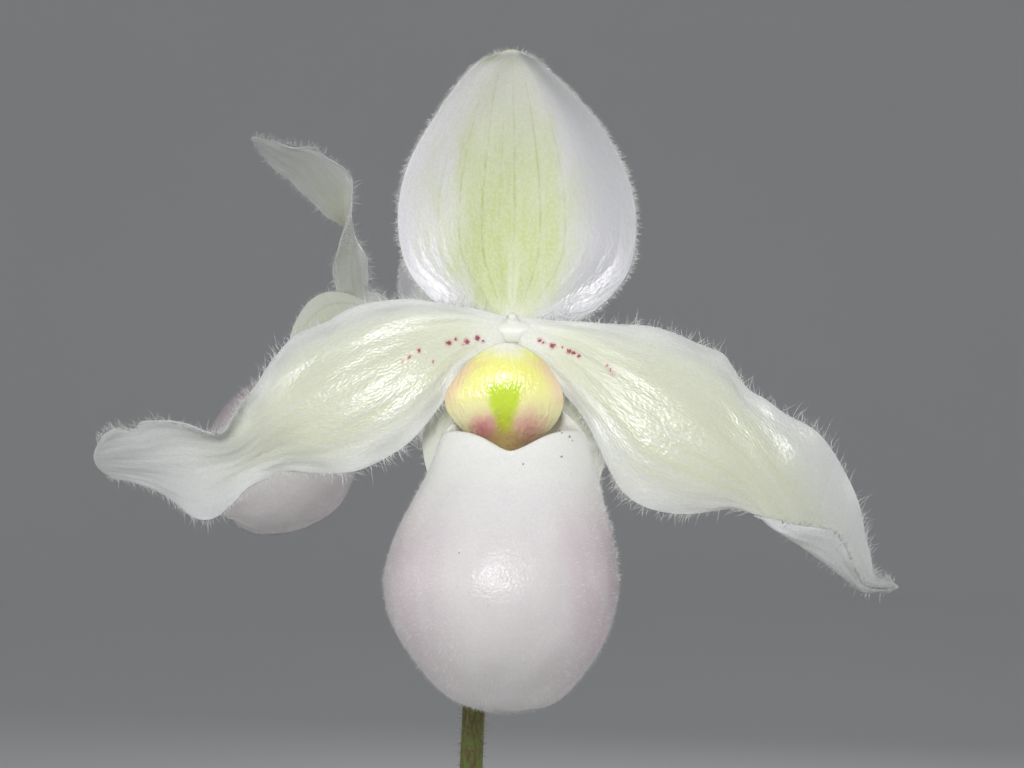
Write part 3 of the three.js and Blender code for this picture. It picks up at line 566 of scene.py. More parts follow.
def hairs(roots, ways, lengths, radius, rng, rings=2, spread=0.3, curl=0.15):
    """Closed three-sided hairs that taper from their roots to their tips."""
    count = len(roots)
    ways = unit(ways + spread * rng.normal(size=(count, 3)))
    side = unit(np.cross(ways, [0.31, 0.52, 0.8]))
    other = np.cross(ways, side)
    bend = curl * rng.normal(size=(count, 3))
    lengths = np.broadcast_to(lengths, count)[:, None]
    corners = []
    for k in range(rings):
        t = k / rings
        centre = roots + ways * (lengths * t - 2 * radius) + bend * lengths * t * t
        for turn in (0, TURN / 3, 2 * TURN / 3):
            off = side * math.cos(turn) + other * math.sin(turn)
            corners.append(centre + off * radius * (1 - 0.7 * t))
    corners.append(roots + ways * lengths + bend * lengths)
    each = 3 * rings + 1
    pattern = [[0, 2, 1]]
    for c in range(3):
        d = (c + 1) % 3
        pattern += [[3 * k + c, 3 * k + d, 3 * k + 3 + d, 3 * k + 3 + c] for k in range(rings - 1)]
        pattern.append([3 * rings - 3 + c, 3 * rings - 3 + d, 3 * rings])
    points = np.stack(corners, axis=1).reshape(-1, 3)
    pattern = outward(points[:each] - points[0], pattern)
    faces = [[k + each * n for k in face] for n in range(count) for face in pattern]
    return points, faces, dict(place=points)


def random_from(seed):
    """The same repeatable stream of numbers that places the chips of the solid mix."""
    state = seed
    while True:
        state = (state * 1664525 + 1013904223) % 4294967296
        yield state / 4294967296


# Materials

class Tone:
    """A node's output, which is added, multiplied, ramped and textured like a number or a place."""

    def __init__(self, finish, socket):
        self.finish, self.socket = finish, socket

    def math(self, operation, other=0.0):
        return self.finish.node("Math", {0: self, 1: other}, operation=operation)

    def __add__(self, other):
        return self.math("ADD", other)

    def __sub__(self, other):
        return self.math("SUBTRACT", other)

    def __mul__(self, other):
        return self.math("MULTIPLY", other)

    def size(self):
        return self.math("ABSOLUTE")

    def ramp(self, low, high, start=0.0, end=1.0):
        bounds = {"Value": self, "From Min": low, "From Max": high, "To Min": start, "To Max": end}
        return self.finish.node("MapRange", bounds, interpolation_type="SMOOTHSTEP")

    def split(self):
        outputs = self.finish.node("SeparateXYZ", {0: self}).socket.node.outputs
        return [Tone(self.finish, output) for output in outputs]

    def stretched(self, *scales):
        return self.finish.node("VectorMath", {0: self, 1: scales}, operation="MULTIPLY")

    def distance(self, point):
        return self.finish.node("VectorMath", {0: self, 1: point}, "Value", operation="DISTANCE")

    def noise(self, scale, detail=2.0, rough=0.5, warp=0.0):
        return self.finish.node("TexNoise", {"Vector": self, "Scale": scale, "Detail": detail,
                                             "Roughness": rough, "Distortion": warp})

    def cells(self, scale):
        return self.finish.node("TexVoronoi", {"Vector": self, "Scale": scale}, "Distance")

    def bump(self, depth, after=None):
        inputs = {"Height": self, "Distance": depth * MM}
        if after:
            inputs["Normal"] = after
        return self.finish.node("Bump", inputs)


class Finish:
    """A node material. Its colour is given in layers: a base, and over it each (factor, colour)."""

    def __init__(self, name, roughness, **settings):
        self.material = bpy.data.materials.new(name)
        self.material.use_nodes = True
        self.tree = self.material.node_tree
        self.shader = self.tree.nodes["Principled BSDF"]
        for key, value in dict(settings, roughness=roughness).items():
            self.shader.inputs[key.replace("_", " ").title().replace("Ior", "IOR")].default_value = value

    def feed(self, socket, value):
        if isinstance(value, Tone):
            self.tree.links.new(value.socket, socket)
        elif isinstance(value, tuple) and socket.type == "RGBA":
            socket.default_value = (*value, 1)
        else:
            socket.default_value = value

    def node(self, kind, inputs, output=0, **settings):
        made = self.tree.nodes.new("ShaderNode" + kind)
        for key, value in settings.items():
            setattr(made, key, value)
        for key, value in inputs.items():
            self.feed(made.inputs[key], value)
        return Tone(self, made.outputs[output])

    def field(self, name):
        return self.node("Attribute", {}, "Vector", attribute_name=name)

    def number(self, name):
        return self.node("Attribute", {}, "Fac", attribute_name=name)

    def form(self):
        """How far along, across and to the front of its blade a point lies."""
        return self.field("form").split()

    def join(self, x, y, z=0.0):
        return self.node("CombineXYZ", {0: x, 1: y, 2: z})

    def layered(self, base, *layers):
        for factor, colour in layers:
            base = self.node("Mix", {0: factor, 6: base, 7: colour}, 2, data_type="RGBA")
        return base

    def done(self, layers, normal=None, roughness=None):
        self.feed(self.shader.inputs["Base Color"], self.layered(*layers))
        if normal:
            self.feed(self.shader.inputs["Normal"], normal)
        if roughness:
            self.feed(self.shader.inputs["Roughness"], roughness)
        return self.material


def bloom_finish(name, roughness, glow=0.25, shine=0.55, **more):
    return Finish(name, roughness, subsurface_weight=glow, subsurface_scale=0.0016, ior=1.42,
                  specular_ior_level=shine, subsurface_radius=(1, 0.95, 0.7), **more)


def green_finish(name, roughness, glow, **more):
    return Finish(name, roughness, subsurface_weight=glow, subsurface_scale=0.001, **more)


def satin(place, depth, after=None, grain=None):
    """The glittering skin of a petal: raised cells, drawn out along the grain, over soft puckers."""
    cells = grain.cells(1.0) if grain else place.cells(3.6)
    puckers = grain.noise(0.3, 3, 0.6) if grain else place.noise(1.3, 3, 0.6)
    specks = place.noise(7, 2, 0.6)
    return (cells + specks * 0.6).bump(depth, puckers.bump(depth * 2.6, after))


def velvet(place, amount=0.22):
    """A layer of fine darker and lighter grains."""
    return place.noise(3.4, 3, 0.7).ramp(0.38, 0.62, 0, amount), (0.56, 0.58, 0.54)


def gathered(operation, tones):
    total = tones[0]
    for tone in tones[1:]:
        total = total.math(operation, tone)
    return total


def near_spots(finish, place, spots, share, blur):
    """How far a point of the flower lies from the edge of the nearest spot, seen from the front."""
    x, _, z = place.split()
    flat = finish.join(x, 0.0, z)
    offs = [flat.distance((spot_x, 0, spot_z)) - radius * share for spot_x, spot_z, radius in spots]
    return gathered("MINIMUM", offs) + place.noise(4, 2).ramp(0.3, 0.7, -blur, blur)


def vein_lines(across, veins, width):
    """Thin lines at set places across a blade."""
    return gathered("MAXIMUM", [(across - place).size().ramp(width * 0.3, width, strength, 0)
                                for place, strength in veins])


def petal_material():
    finish = bloom_finish("petal", 0.27, shine=0.68)
    place, vein = finish.field("place"), finish.number("vein")
    u, v, side = finish.form()
    x, _, _ = place.split()
    streaks = finish.join(u * 2.2, vein * 9).noise(1, 3, 0.55)
    green = (u.ramp(0.45, 0.85, 1, 0.05) * v.size().ramp(0.35, 1, 1, 0.2)
             * streaks.ramp(0.25, 0.75, 0.65, 1) * side.ramp(-0.3, 0.3, 0.3, 1))
    lines = ((vein * 14).math("SINE").size().ramp(0.02, 0.2, 1, 0) * u.ramp(0.5, 0.95, 0.3, 0)
             * streaks.ramp(0.4, 0.6, 0, 0.6))
    near, front = near_spots(finish, place, SPOTS, SPOT_SHARE, 0.1), side.ramp(0.2, 0.6)
    layers = [(0.76, 0.77, 0.775), (green, (0.69, 0.72, 0.53)),
              # Painted shade: a grey layer darkens the petal's outer part towards its tip.
              (u.ramp(0.6, 1, 0, 0.5), (0.6, 0.61, 0.61)),
              (u.ramp(0.12, 0.02, 0, 0.8), (0.87, 0.88, 0.82)),
              velvet(place), (lines, (0.74, 0.77, 0.46)),
              (near.ramp(-0.05, 0.32, 0.5, 0) * front, (0.64, 0.3, 0.36)),
              (near.ramp(-0.12, 0.06, 0.95, 0) * front, (0.27, 0.025, 0.06))]
    matt = (u + x.ramp(-2, 2, 0.24, 0)).ramp(0.62, 0.8, 0, 0.24) + u.ramp(0.1, 0.24, 0.44, 0.26)
    return finish.done(layers, satin(place, 0.03, None, finish.join(u * 110, v * 34)), matt)


def dorsal_material():
    finish = bloom_finish("dorsal_sepal", 0.35)
    place = finish.field("place")
    u, v, side = finish.form()
    off = v.size()
    patches = place.stretched(1, 1, 0.35).noise(0.3, 3, 0.55)
    fine = place.stretched(1, 1, 0.3).noise(1.6, 3, 0.6)
    across = (v + 0.06).size() + patches.ramp(0.25, 0.75, -0.15, 0.15)
    green = (across.ramp(0.2, 0.88, 1, 0) * u.ramp(0.35, 0.97, 1, 0.3) * fine.ramp(0.2, 0.75, 0.8, 1)
             * side.ramp(-0.3, 0.3, 0.4, 1))
    lines = (vein_lines(finish.number("vein"), DORSAL_VEINS, 0.016) * u.ramp(0.5, 0.9, 0.5, 0.12)
             * fine.ramp(0.35, 0.6, 0.15, 1))
    root = u.ramp(0.2, 0.05, 0, 0.8) * off.ramp(0.5, 0.1)
    midrib = u.ramp(0.45, 0.12, 0, 0.5) * off.ramp(0.09, 0.03)
    layers = [(0.76, 0.75, 0.79), (green, (0.53, 0.61, 0.21)),
              (u.ramp(0.55, 0.95, 0, 0.65), (0.88, 0.89, 0.82)),
              (place.noise(3.2, 3, 0.65).ramp(0.35, 0.75, 0, 0.25), (0.9, 0.9, 0.86)),
              (lines, (0.33, 0.46, 0.12)),
              (root.math("MAXIMUM", midrib), (0.84, 0.85, 0.76)),
              (u.ramp(0.95, 0.99) * side.ramp(0.4, -0.1), (0.6, 0.64, 0.28)),
              (u.ramp(0.86, 0.95) * off.ramp(0.72, 0.95, 0, 0.8), (0.64, 0.68, 0.34)),
              # Painted shade: a grey-lilac layer darkens the right half of the sepal towards its right
              # margin.
              (v.ramp(0.3, 0.85, 0, 0.9), (0.47, 0.47, 0.51)), velvet(place)]
    shine = off.ramp(0.35, 0.7) * off.ramp(1, 0.8, 0.4, 1) * u.ramp(0.5, 0.25)
    return finish.done(layers, satin(place, 0.025, None, finish.join(u * 60, v * 43)),
                       shine.ramp(0, 1, 0.52, 0.26))


def lower_sepal_material():
    finish = bloom_finish("lower_sepal", 0.42)
    place = finish.field("place")
    _, v, _ = finish.form()
    green = v.size().ramp(0.3, 1, 1, 0.3) * place.noise(0.4, 3).ramp(0.3, 0.7, 0.5, 1)
    layers = [(0.84, 0.85, 0.8), (green, (0.7, 0.76, 0.5)),
              (vein_lines(finish.number("vein"), LOWER_VEINS, 0.03) * 0.3, (0.42, 0.52, 0.22))]
    return finish.done(layers, satin(place, 0.018))


def pouch_material():
    finish = bloom_finish("pouch", 0.28, 0.3)
    place = finish.field("place")
    x, _, z = place.split()
    streaks = place.stretched(1, 1, 0.3).noise(0.34, 4, 0.55, 0.3)
    # Real mauve blush low on the pouch, with painted shade that deepens it towards the sides and most on the
    # right.
    sides = (x + 1.0).size().ramp(2, 11, 0.3, 0.8) + x.ramp(3, 12, 0, 0.35)
    blush_and_side_shade = z.ramp(-16, -24) * streaks.ramp(0.25, 0.75, 0.6, 1) * sides
    dust = near_spots(finish, place, POUCH_SPECKS, 1, 0.05)
    layers = [(0.84, 0.82, 0.805), (blush_and_side_shade, (0.62, 0.52, 0.56)),
              # Cream towards the mouth: partly the rim's own colour, partly painted light where the lamp
              # falls weakly.
              (z.ramp(-19, -13.5, 0, 0.9), (0.95, 0.95, 0.89)),
              (dust.ramp(-0.05, 0.03, 0.75, 0), (0.12, 0.09, 0.07)), velvet(place, 0.1)]
    return finish.done(layers, satin(place, 0.028))


def staminode_material():
    finish = bloom_finish("staminode", 0.22, 0.2, coat_weight=0.8, coat_roughness=0.08)
    shield, place = finish.field("form"), finish.field("place")
    right, up, share = shield.split()
    ripple = shield.stretched(1.5, 0.6, 1).noise(1.2, 3, 0.6)
    wobble = ripple.ramp(0.3, 0.7, -0.35, 0.35)
    x, y = right + wobble, up + wobble
    edge = share.ramp(0.7, 0.98, 0, 0.75) * y.ramp(-1.5, 0.8) * y.ramp(5.2, 3.6)
    reach = (right + wobble * 0.4).size() + up.ramp(-3.8, 2, 1, 0)
    lime = reach.ramp(1.3, 2.4, 1, 0) * up.ramp(2.9, 1.5) * up.ramp(-4.6, -2.8)
    layers = [(0.9, 0.84, 0.5), (y.ramp(-2.5, 3.5), (0.9, 0.9, 0.26)), (edge, (0.88, 0.6, 0.46)),
              (y.ramp(4, 6.2) * x.size().ramp(0.8, 3.6, 1, 0.2), (0.92, 0.92, 0.8)),
              (lime, (0.62, 0.78, 0.06))]
    flat = finish.join(x, y * 0.8)
    for centre, width, strength in ((-2.2, 2.5, 0.95), (2.5, 3, 0.7)):
        rose = flat.distance((centre, -2.5, 0)).ramp(width * 0.1, width, strength, 0)
        layers.append((rose * ripple.ramp(0.25, 0.6, 0.7, 1), (0.68, 0.21, 0.27)))
    foot = up.ramp(-2.4, -4, 0, 0.75) * right.size().ramp(0.8, 2.6, 1, 0.35)
    layers.append((foot, (0.52, 0.33, 0.1)))
    wrinkles = place.stretched(1.1, 1, 0.4).noise(2.2, 3, 0.6).bump(0.16)
    finish.feed(finish.shader.inputs["Coat Normal"], wrinkles)
    return finish.done(layers, satin(place, 0.015, wrinkles))


def hub_material():
    finish = bloom_finish("hub", 0.42)
    place = finish.node("TexCoord", {}, "Object").stretched(1 / MM, 1 / MM, 1 / MM)
    layers = [(0.8, 0.81, 0.75), (place.noise(1.2, 2), (0.79, 0.8, 0.71))]
    return finish.done(layers, satin(place, 0.015))


def hair_material():
    finish = bloom_finish("white_hair", 0.4)
    return finish.done([(0.86, 0.86, 0.8), (finish.field("place").noise(0.8, 1), (0.95, 0.95, 0.93))])


def down_material():
    finish = Finish("brown_down", 0.5)
    return finish.done([(0.3, 0.16, 0.12), (finish.field("place").noise(0.5, 1), (0.5, 0.42, 0.26))])


def stem_material():
    finish = green_finish("stem", 0.55, 0.1)
    place = finish.field("place")
    flecks = place.stretched(1, 1, 0.35).noise(2.2, 4, 0.65)
    layers = [(0.13, 0.19, 0.035), (flecks.ramp(0.42, 0.62), (0.12, 0.045, 0.03)),
              (place.noise(0.12, 2).ramp(0.3, 0.7, 0, 0.45), (0.2, 0.26, 0.06))]
    return finish.done(layers, flecks.bump(0.15))


def bract_material():
    finish = green_finish("bract", 0.5, 0.15)
    lines = (finish.number("vein") * 30).math("SINE")
    flecks = finish.field("place").noise(1.4, 4, 0.6)
    layers = [(0.3, 0.38, 0.1), (lines.ramp(-0.2, 1, 0, 0.5), (0.17, 0.25, 0.05)),
              (flecks.ramp(0.5, 0.66) * 0.8, (0.16, 0.05, 0.05))]
    return finish.done(layers, lines.bump(0.06))


def bud_material():
    finish = green_finish("bud", 0.48, 0.15)
    share, _, _ = finish.form()
    flecks = finish.field("place").stretched(1, 1, 0.3).noise(1.6, 3, 0.6)
    layers = [(0.3, 0.38, 0.1), (share.ramp(0.1, 0.9), (0.6, 0.62, 0.4)),
              (flecks.ramp(0.5, 0.7) * 0.6, (0.3, 0.12, 0.12))]
    return finish.done(layers, flecks.bump(0.12))


def leaf_material():
    finish = Finish("leaf", 0.34, coat_weight=0.12, coat_roughness=0.3, ior=1.4)
    u, v, side = finish.form()
    bent = finish.field("place").noise(0.16, 2)
    tiles = finish.join(u * 26 + bent * 3, v * 5.5).cells(1.0)
    grain = finish.join(u * 60, v * 26).noise(1, 4, 0.65)
    specks = finish.join(u * 90, v * 24).noise(1, 3, 0.7)
    pale = (tiles + grain * 0.35).ramp(0.42, 0.72) * bent.ramp(0.25, 0.6, 0.55, 1)
    top = finish.layered((0.024, 0.08, 0.018), (pale, (0.13, 0.235, 0.09)),
                         (v.size().ramp(0.015, 0.06, 0.55, 0), (0.09, 0.17, 0.05)))
    layers = [(0.09, 0.16, 0.05), (specks.ramp(0.46, 0.58, 0, 0.85), (0.1, 0.02, 0.045)),
              (side.ramp(-0.3, 0.3), top)]
    ribs = (v * 58).math("SINE").bump(0.05)
    return finish.done(layers, grain.bump(0.08, ribs), grain.ramp(0.3, 0.7, 0.3, 0.42))


def bark_material():
    finish = Finish("bark", 0.85)
    place = finish.field("form")
    layering = place.stretched(0.25, 0.5, 2.4).noise(1.1, 5, 0.65)
    pits = place.noise(1.6, 5, 0.7)
    layers = [(0.05, 0.02, 0.011), (finish.number("tone"), (0.24, 0.11, 0.05)),
              (layering.ramp(0.4, 0.65), (0.03, 0.013, 0.008)),
              (pits.ramp(0.6, 0.72) * 0.5, (0.34, 0.22, 0.12))]
    return finish.done(layers, layering.bump(0.5, pits.bump(0.5)))


def pebble_material():
    finish = Finish("pumice", 0.9)
    pits = finish.field("place").cells(1.6)
    return finish.done([(0.3, 0.27, 0.22), (pits.ramp(0.1, 0.5), (0.72, 0.69, 0.62))], pits.bump(0.4))


def moss_material():
    finish = green_finish("moss", 0.7, 0.1)
    tone = finish.field("place").noise(0.35, 3)
    return finish.done([(0.06, 0.13, 0.012), (tone.ramp(0.3, 0.7), (0.22, 0.3, 0.035))])


def pot_material():
    finish = Finish("pot_plastic", 0.24, ior=1.49, coat_weight=0.15, coat_roughness=0.12)
    place = finish.field("place")
    _, _, z = place.split()
    flow = place.stretched(1, 1, 0.22).noise(0.09, 3, 0.55)
    dust = place.noise(0.35, 6, 0.7)
    scuffs = place.stretched(0.25, 0.25, 3).noise(0.8, 4, 0.7)
    layers = [(0.125, 0.008, 0.028), (flow, (0.185, 0.014, 0.045)),
              (dust.ramp(0.5, 0.75) * z.ramp(0, 26, 0.35, 0.05), (0.3, 0.22, 0.2))]
    rough = (scuffs + dust * 0.4).ramp(0.45, 0.95, 0.2, 0.46)
    return finish.done(layers, place.noise(1.8, 3).bump(0.02), rough)


def stage_material():
    finish = Finish("studio_floor", 0.8)
    tone = finish.node("TexCoord", {}, "Object").noise(2.5, 3)
    return finish.done([(0.84, 0.84, 0.845), (tone, (0.88, 0.88, 0.885))])


# Pot and mix

def body_radius(z):
    return FOOT_RADIUS + (BODY_TOP_RADIUS - FOOT_RADIUS) * z / BAND_BOTTOM


def pot(material):
    band = BODY_TOP_RADIUS + BAND_STEP
    lip = band + BAND_FLARE + LIP_STEP
    inner = lip - LIP_STEP - POT_WALL
    profile = [
        (0, 0), (FOOT_RADIUS, 0), (BODY_TOP_RADIUS, BAND_BOTTOM), (band, BAND_BOTTOM + 0.5),
        (band + BAND_FLARE, LIP_BOTTOM), (lip, LIP_BOTTOM + 0.6), (lip, POT_HEIGHT), (inner, POT_HEIGHT),
        (band - POT_WALL, BAND_BOTTOM + POT_WALL + 1), (BODY_TOP_RADIUS - POT_WALL, BAND_BOTTOM + 1),
        (body_radius(POT_WALL) - POT_WALL, POT_WALL), (0, POT_WALL),
    ]
    made = piece("pot_shell", (*lathed(rounded(profile, POT_EDGE), POT_SIDES), {}), material, "pot", "pot")
    for x, y in DRAIN_CIRCLE * stacked(*circle(DRAINS)[1:]):
        bpy.ops.mesh.primitive_cylinder_add(vertices=40, radius=DRAIN_RADIUS * MM, depth=3 * POT_WALL * MM,
                                            location=(x * MM, y * MM, POT_WALL * MM / 2))
        cutter = bpy.context.object
        cut = made.modifiers.new("drain", "BOOLEAN")
        cut.operation, cut.object, cut.solver = "DIFFERENCE", cutter, "EXACT"
        with bpy.context.temp_override(object=made, active_object=made):
            bpy.ops.object.modifier_apply(modifier=cut.name)
        bpy.data.objects.remove(cutter)
    made.data.set_sharp_from_angle(angle=math.radians(POT_CREASE))
    store(made.data, "place", [vertex.co / MM for vertex in made.data.vertices])


def chip_shape(size, taper, rng, cuts=(5, 4, 3)):
    """A rough block with softened corners, split a little in layers. Its points lie round the origin."""
    corners, faces, index = [], [], {}

    def corner(key):
        if key not in index:
            index[key] = len(corners)
            corners.append([2 * k / n - 1 for k, n in zip(key, cuts)])
        return index[key]

    for axis in range(3):
        one, two = [k for k in range(3) if k != axis]
        for end in (0, cuts[axis]):
            for i, j in np.ndindex(cuts[one], cuts[two]):
                quad = []
                for di, dj in ((0, 0), (1, 0), (1, 1), (0, 1)):
                    key = [0, 0, 0]
                    key[axis], key[one], key[two] = end, i + di, j + dj
                    quad.append(corner(tuple(key)))
                outside = (end > 0) != (axis == 1)
                faces.append(quad if outside else quad[::-1])
    p = np.array(corners)
    shrink = 1 - 0.16 * (np.abs(p) ** 6).sum(axis=1) / 3 - 0.05 * rng.random(len(p))
    p = p * shrink[:, None]
    p[:, 1] *= np.where(p[:, 0] > 0, 1 + (taper - 1) * p[:, 0], 1)
    p[:, 2] += 0.12 * np.sin(5 * p[:, 0] + rng.uniform(0, 6)) + 0.1 * rng.normal(size=len(p))
    p[:, 1] += 0.12 * np.sin(4 * p[:, 0] + rng.uniform(0, 6))
    p = p * np.array(size) / 2
    return p, outward(p, faces)


def turned(points, *turns):
    """Points turned about x, then y, then z."""
    for (one, two), turn in zip(((1, 2), (2, 0), (0, 1)), turns):
        c, s = math.cos(turn), math.sin(turn)
        a, b = points[:, one].copy(), points[:, two].copy()
        points = points.copy()
        points[:, one], points[:, two] = a * c - b * s, a * s + b * c
    return points


def mix_height(share):
    return MIX_CROWN_HEIGHT - (MIX_CROWN_HEIGHT - MIX_EDGE_HEIGHT) * share ** 2


def bark_mix(material, pebbles, moss):
    rng = np.random.default_rng(MIX_SEED)
    facet = math.cos(math.pi / 36)
    room = facet * (body_radius(BAND_BOTTOM) - POT_WALL) - 0.3
    floor = POT_WALL + 0.3
    top = [(room * s, mix_height(s) - MIX_BED_DROP) for s in np.linspace(1, 0.02, 30)]
    profile = [(0, floor), (body_radius(floor) - POT_WALL - 0.6, floor), (room, BAND_BOTTOM), *top,
               (0, MIX_CROWN_HEIGHT - MIX_BED_DROP)]
    bed, bed_faces = lathed(profile, 96)
    above = bed[:, 2] > BAND_BOTTOM + 2
    waves = 0.7 * np.sin(bed[above, 0] * 0.9) * np.cos(bed[above, 1] * 0.8)
    bed[above, 2] += waves + rng.normal(size=above.sum()) * 0.35
    parts = [(bed, bed_faces, dict(form=bed, tone=np.full(len(bed), 0.12)))]

    def spot(share, turn, lift):
        return np.array([share * room * math.cos(turn), share * room * math.sin(turn),
                         mix_height(share) + lift])

    def chip(size, taper, turns, place):
        points, faces = chip_shape(size, taper, rng)
        where = turned(points, *turns) + place
        reach = np.hypot(where[:, 0], where[:, 1])
        where[:, :2] *= np.minimum(1, (room - 0.2) / np.maximum(reach, 1))[:, None]
        parts.append((where, faces, dict(form=points + rng.uniform(0, 60, 3),
                                         tone=np.full(len(points), rng.random() ** 1.3))))

    numbers = random_from(SOLID_MIX_SEED)
    for k in range(CHIPS):
        size = [s * (0.75 + 0.5 * next(numbers)) for s in CHIP_SIZE]
        taper = 0.55 + 0.3 * next(numbers)
        turns = [(next(numbers) - 0.5) * CHIP_TILT, (next(numbers) - 0.5) * CHIP_TILT, next(numbers) * TURN]
        chip(size, taper, turns,
             spot(math.sqrt((k + 0.5) / CHIPS), k * GOLDEN_ANGLE, 0.8 * next(numbers)))
    for k in range(CRUMBS):
        size = [s * CRUMB_SHARE * rng.uniform(0.5, 1.25) for s in CHIP_SIZE]
        place = spot(math.sqrt((k + 0.5) / CRUMBS), k * GOLDEN_ANGLE + 1, rng.uniform(-0.6, 1.4))
        chip(size, rng.uniform(0.5, 0.9), [*rng.uniform(-0.8, 0.8, 2), rng.uniform(0, 6.3)], place)
    piece("bark_chips", merged(*parts), material, "bark", "bark_mix", crease=CHIP_CREASE)

    stones = []
    for k in range(PEBBLES):
        share, turn = math.sqrt(rng.uniform(0.05, 0.96)), rng.uniform(0, TURN)
        size = np.array([1, 0.85, 0.75]) * rng.uniform(1.8, 3.6)
        points, faces = chip_shape(size, 0.9, rng, (4, 4, 4))
        points = unit(points) * (0.4 + 0.1 * rng.random((len(points), 1))) * size
        where = points + spot(share, turn, rng.uniform(1, 2)) * [0.96, 0.96, 1]
        stones.append((where, faces, dict(place=where)))
    piece("pumice_bits", merged(*stones), pebbles, "bark")

    tufts = []
    for k in range(MOSS_TUFTS):
        middle = spot(math.sqrt(rng.uniform(0.25, 0.93)), rng.uniform(0, TURN), 0.6)
        spread = rng.normal(size=(MOSS_SPRIGS, 3)) * [2.1, 2.1, 0.4]
        spread = spread[np.hypot(*(middle + spread)[:, :2].T) < room - 1.5]
        ways = unit(spread * [0.35, 0.35, 0] + UP)
        lengths = rng.uniform(1.4, 3.4, len(spread))
        tufts.append(hairs(middle + spread, ways, lengths, SPRIG_RADIUS, rng, 2, 0.35, 0.25))
    piece("moss", merged(*tufts), moss, "leaf")


# Leaves

def leaf_half_width(u, half, foot_half):
    broad = foot_half + (half - foot_half) * smooth(u, 0, 0.5)
    tip = np.maximum(u - LEAF_TAPER_FROM, 0) / (1 - LEAF_TAPER_FROM)
    return broad * np.sqrt(np.maximum(1 - tip ** 2.3, 0.004))


def leaf_surface(leaf, foot_half, fan_turn, place):
    start, bend = math.radians(leaf["rise"]), math.radians(leaf["end"] - leaf["rise"])
    heading, fan = math.radians(fan_turn + leaf["turn"]), math.radians(fan_turn)
    side, length = leaf["side"], leaf["length"]
    outwards = np.array([side * math.cos(heading), side * math.sin(heading), 0])
    sideways = np.cross(UP, outwards)
    root = np.array([place[0] + side * math.cos(fan) * leaf["foot"],
                     place[1] + side * math.sin(fan) * leaf["foot"], LEAF_FOOT_HEIGHT])

    def at(u, v):
        slope = start + bend * u
        reach = length * (np.sin(slope) - math.sin(start)) / bend
        height = length * (math.cos(start) - np.cos(slope)) / bend
        half = leaf_half_width(u, leaf["width"] / 2, foot_half)
        fold = np.radians(LEAF_FOLD[0] + (LEAF_FOLD[1] - LEAF_FOLD[0]) * smooth(u, 0.1, 0.7))
        lift = half * np.abs(v) * np.sin(fold) + leaf["wave"] * v * v * np.sin(11 * u + 2 * v)
        lift = (lift * smooth(u, -0.2, 0.1))[..., None]
        normal = -outwards * np.sin(slope)[..., None] + UP * np.cos(slope)[..., None]
        return (root + outwards * reach[..., None] + UP * height[..., None]
                + sideways * (half * v * np.cos(fold))[..., None] + normal * lift)

    return at


def leaf_relief(u, v):
    channel = -0.45 * bell(v, 0, 0.07) * smooth(1 - u, 0, 0.12)
    return channel + 0.05 * np.cos(v * 29) + 0.22 * np.sin(17 * u + 3 * v) * v * v


def leaf_thickness(v):
    return LEAF_THICKNESS * (1 - (1 - LEAF_EDGE_SHARE) * v * v)


def leaves(material):
    for k, leaf in enumerate(LEAVES, 1):
        at = leaf_surface(leaf, LEAF_FOOT_HALF, FAN_TURN, (0, 0))
        shape = blade(at, leaf_thickness, *LEAF_STEPS, relief=leaf_relief)
        piece(f"strap_leaf_{k}", shape, material, "leaf", f"leaf_{k}")
    for k, leaf in enumerate(SHOOT_LEAVES, 1):
        at = leaf_surface(leaf, SHOOT_FOOT_HALF, SHOOT_TURN, SHOOT_PLACE)
        shape = blade(at, lambda v: SHOOT_THICKNESS_SHARE * leaf_thickness(v), *YOUNG_LEAF_STEPS,
                      relief=leaf_relief)
        piece(f"young_leaf_{k}", shape, material, "leaf", f"shoot_leaf_{k}")


# Stem and bud

def stem_radius(t):
    swelling = sum(bell(t, node, 0.012) for node in (FRONT_NODE, REAR_NODE))
    return STEM_FOOT_RADIUS + (STEM_TIP_RADIUS - STEM_FOOT_RADIUS) * t + 0.12 * swelling


def stem(material, down):
    rng = np.random.default_rng(STEM_SEED)
    count, least, most, radius = STEM_DOWN
    piece("downy_stem", tube(STEM_POINTS, stem_radius, 24, 220), material, "stem", "flower_stem")
    roots, ways = tube_skin(STEM_POINTS, stem_radius, count, rng)
    piece("stem_down", hairs(roots, ways, rng.uniform(least, most, count), radius, rng, 1), down, "stem")


def bud(material, down):
    x, y, z = STEM_POINTS[-1]
    turns, cosines, sines = circle(BUD_SIDES)
    shares = np.linspace(0.02, 0.998, BUD_RINGS)
    rings = []
    for t in shares:
        keel = 1 + 0.06 * np.cos(3 * turns + 1) * smooth(t, 0.2, 0.6)
        radius = BUD_RADIUS * math.sin(math.pi * t ** 0.75) ** 0.8 * keel
        rings.append(stacked(x + radius * cosines + 2.5 * t * t, y + radius * sines - 2 * t * t,
                             z + BUD_GAP + BUD_LENGTH * t))
    corners, faces = loft(np.array(rings))
    fields = dict(place=corners, form=end_to_end(shares, turns))
    piece("closed_bud", (corners, faces, fields), material, "bract", "tip_bud")
    rng = np.random.default_rng(BUD_SEED)
    count, least, most, hair_radius = BUD_DOWN
    picked = rng.choice(BUD_SIDES * BUD_RINGS, count, replace=False)
    roots, axis = corners[picked], np.array(rings).mean(axis=1)[picked // BUD_SIDES]
    lengths = rng.uniform(least, most, count)
    piece("bud_down", hairs(roots, roots - axis, lengths, hair_radius, rng, 1), down, "bract")


# Flowers

def blade_thickness(v):
    return BLADE_MIDDLE + (BLADE_MARGIN - BLADE_MIDDLE) * v * v


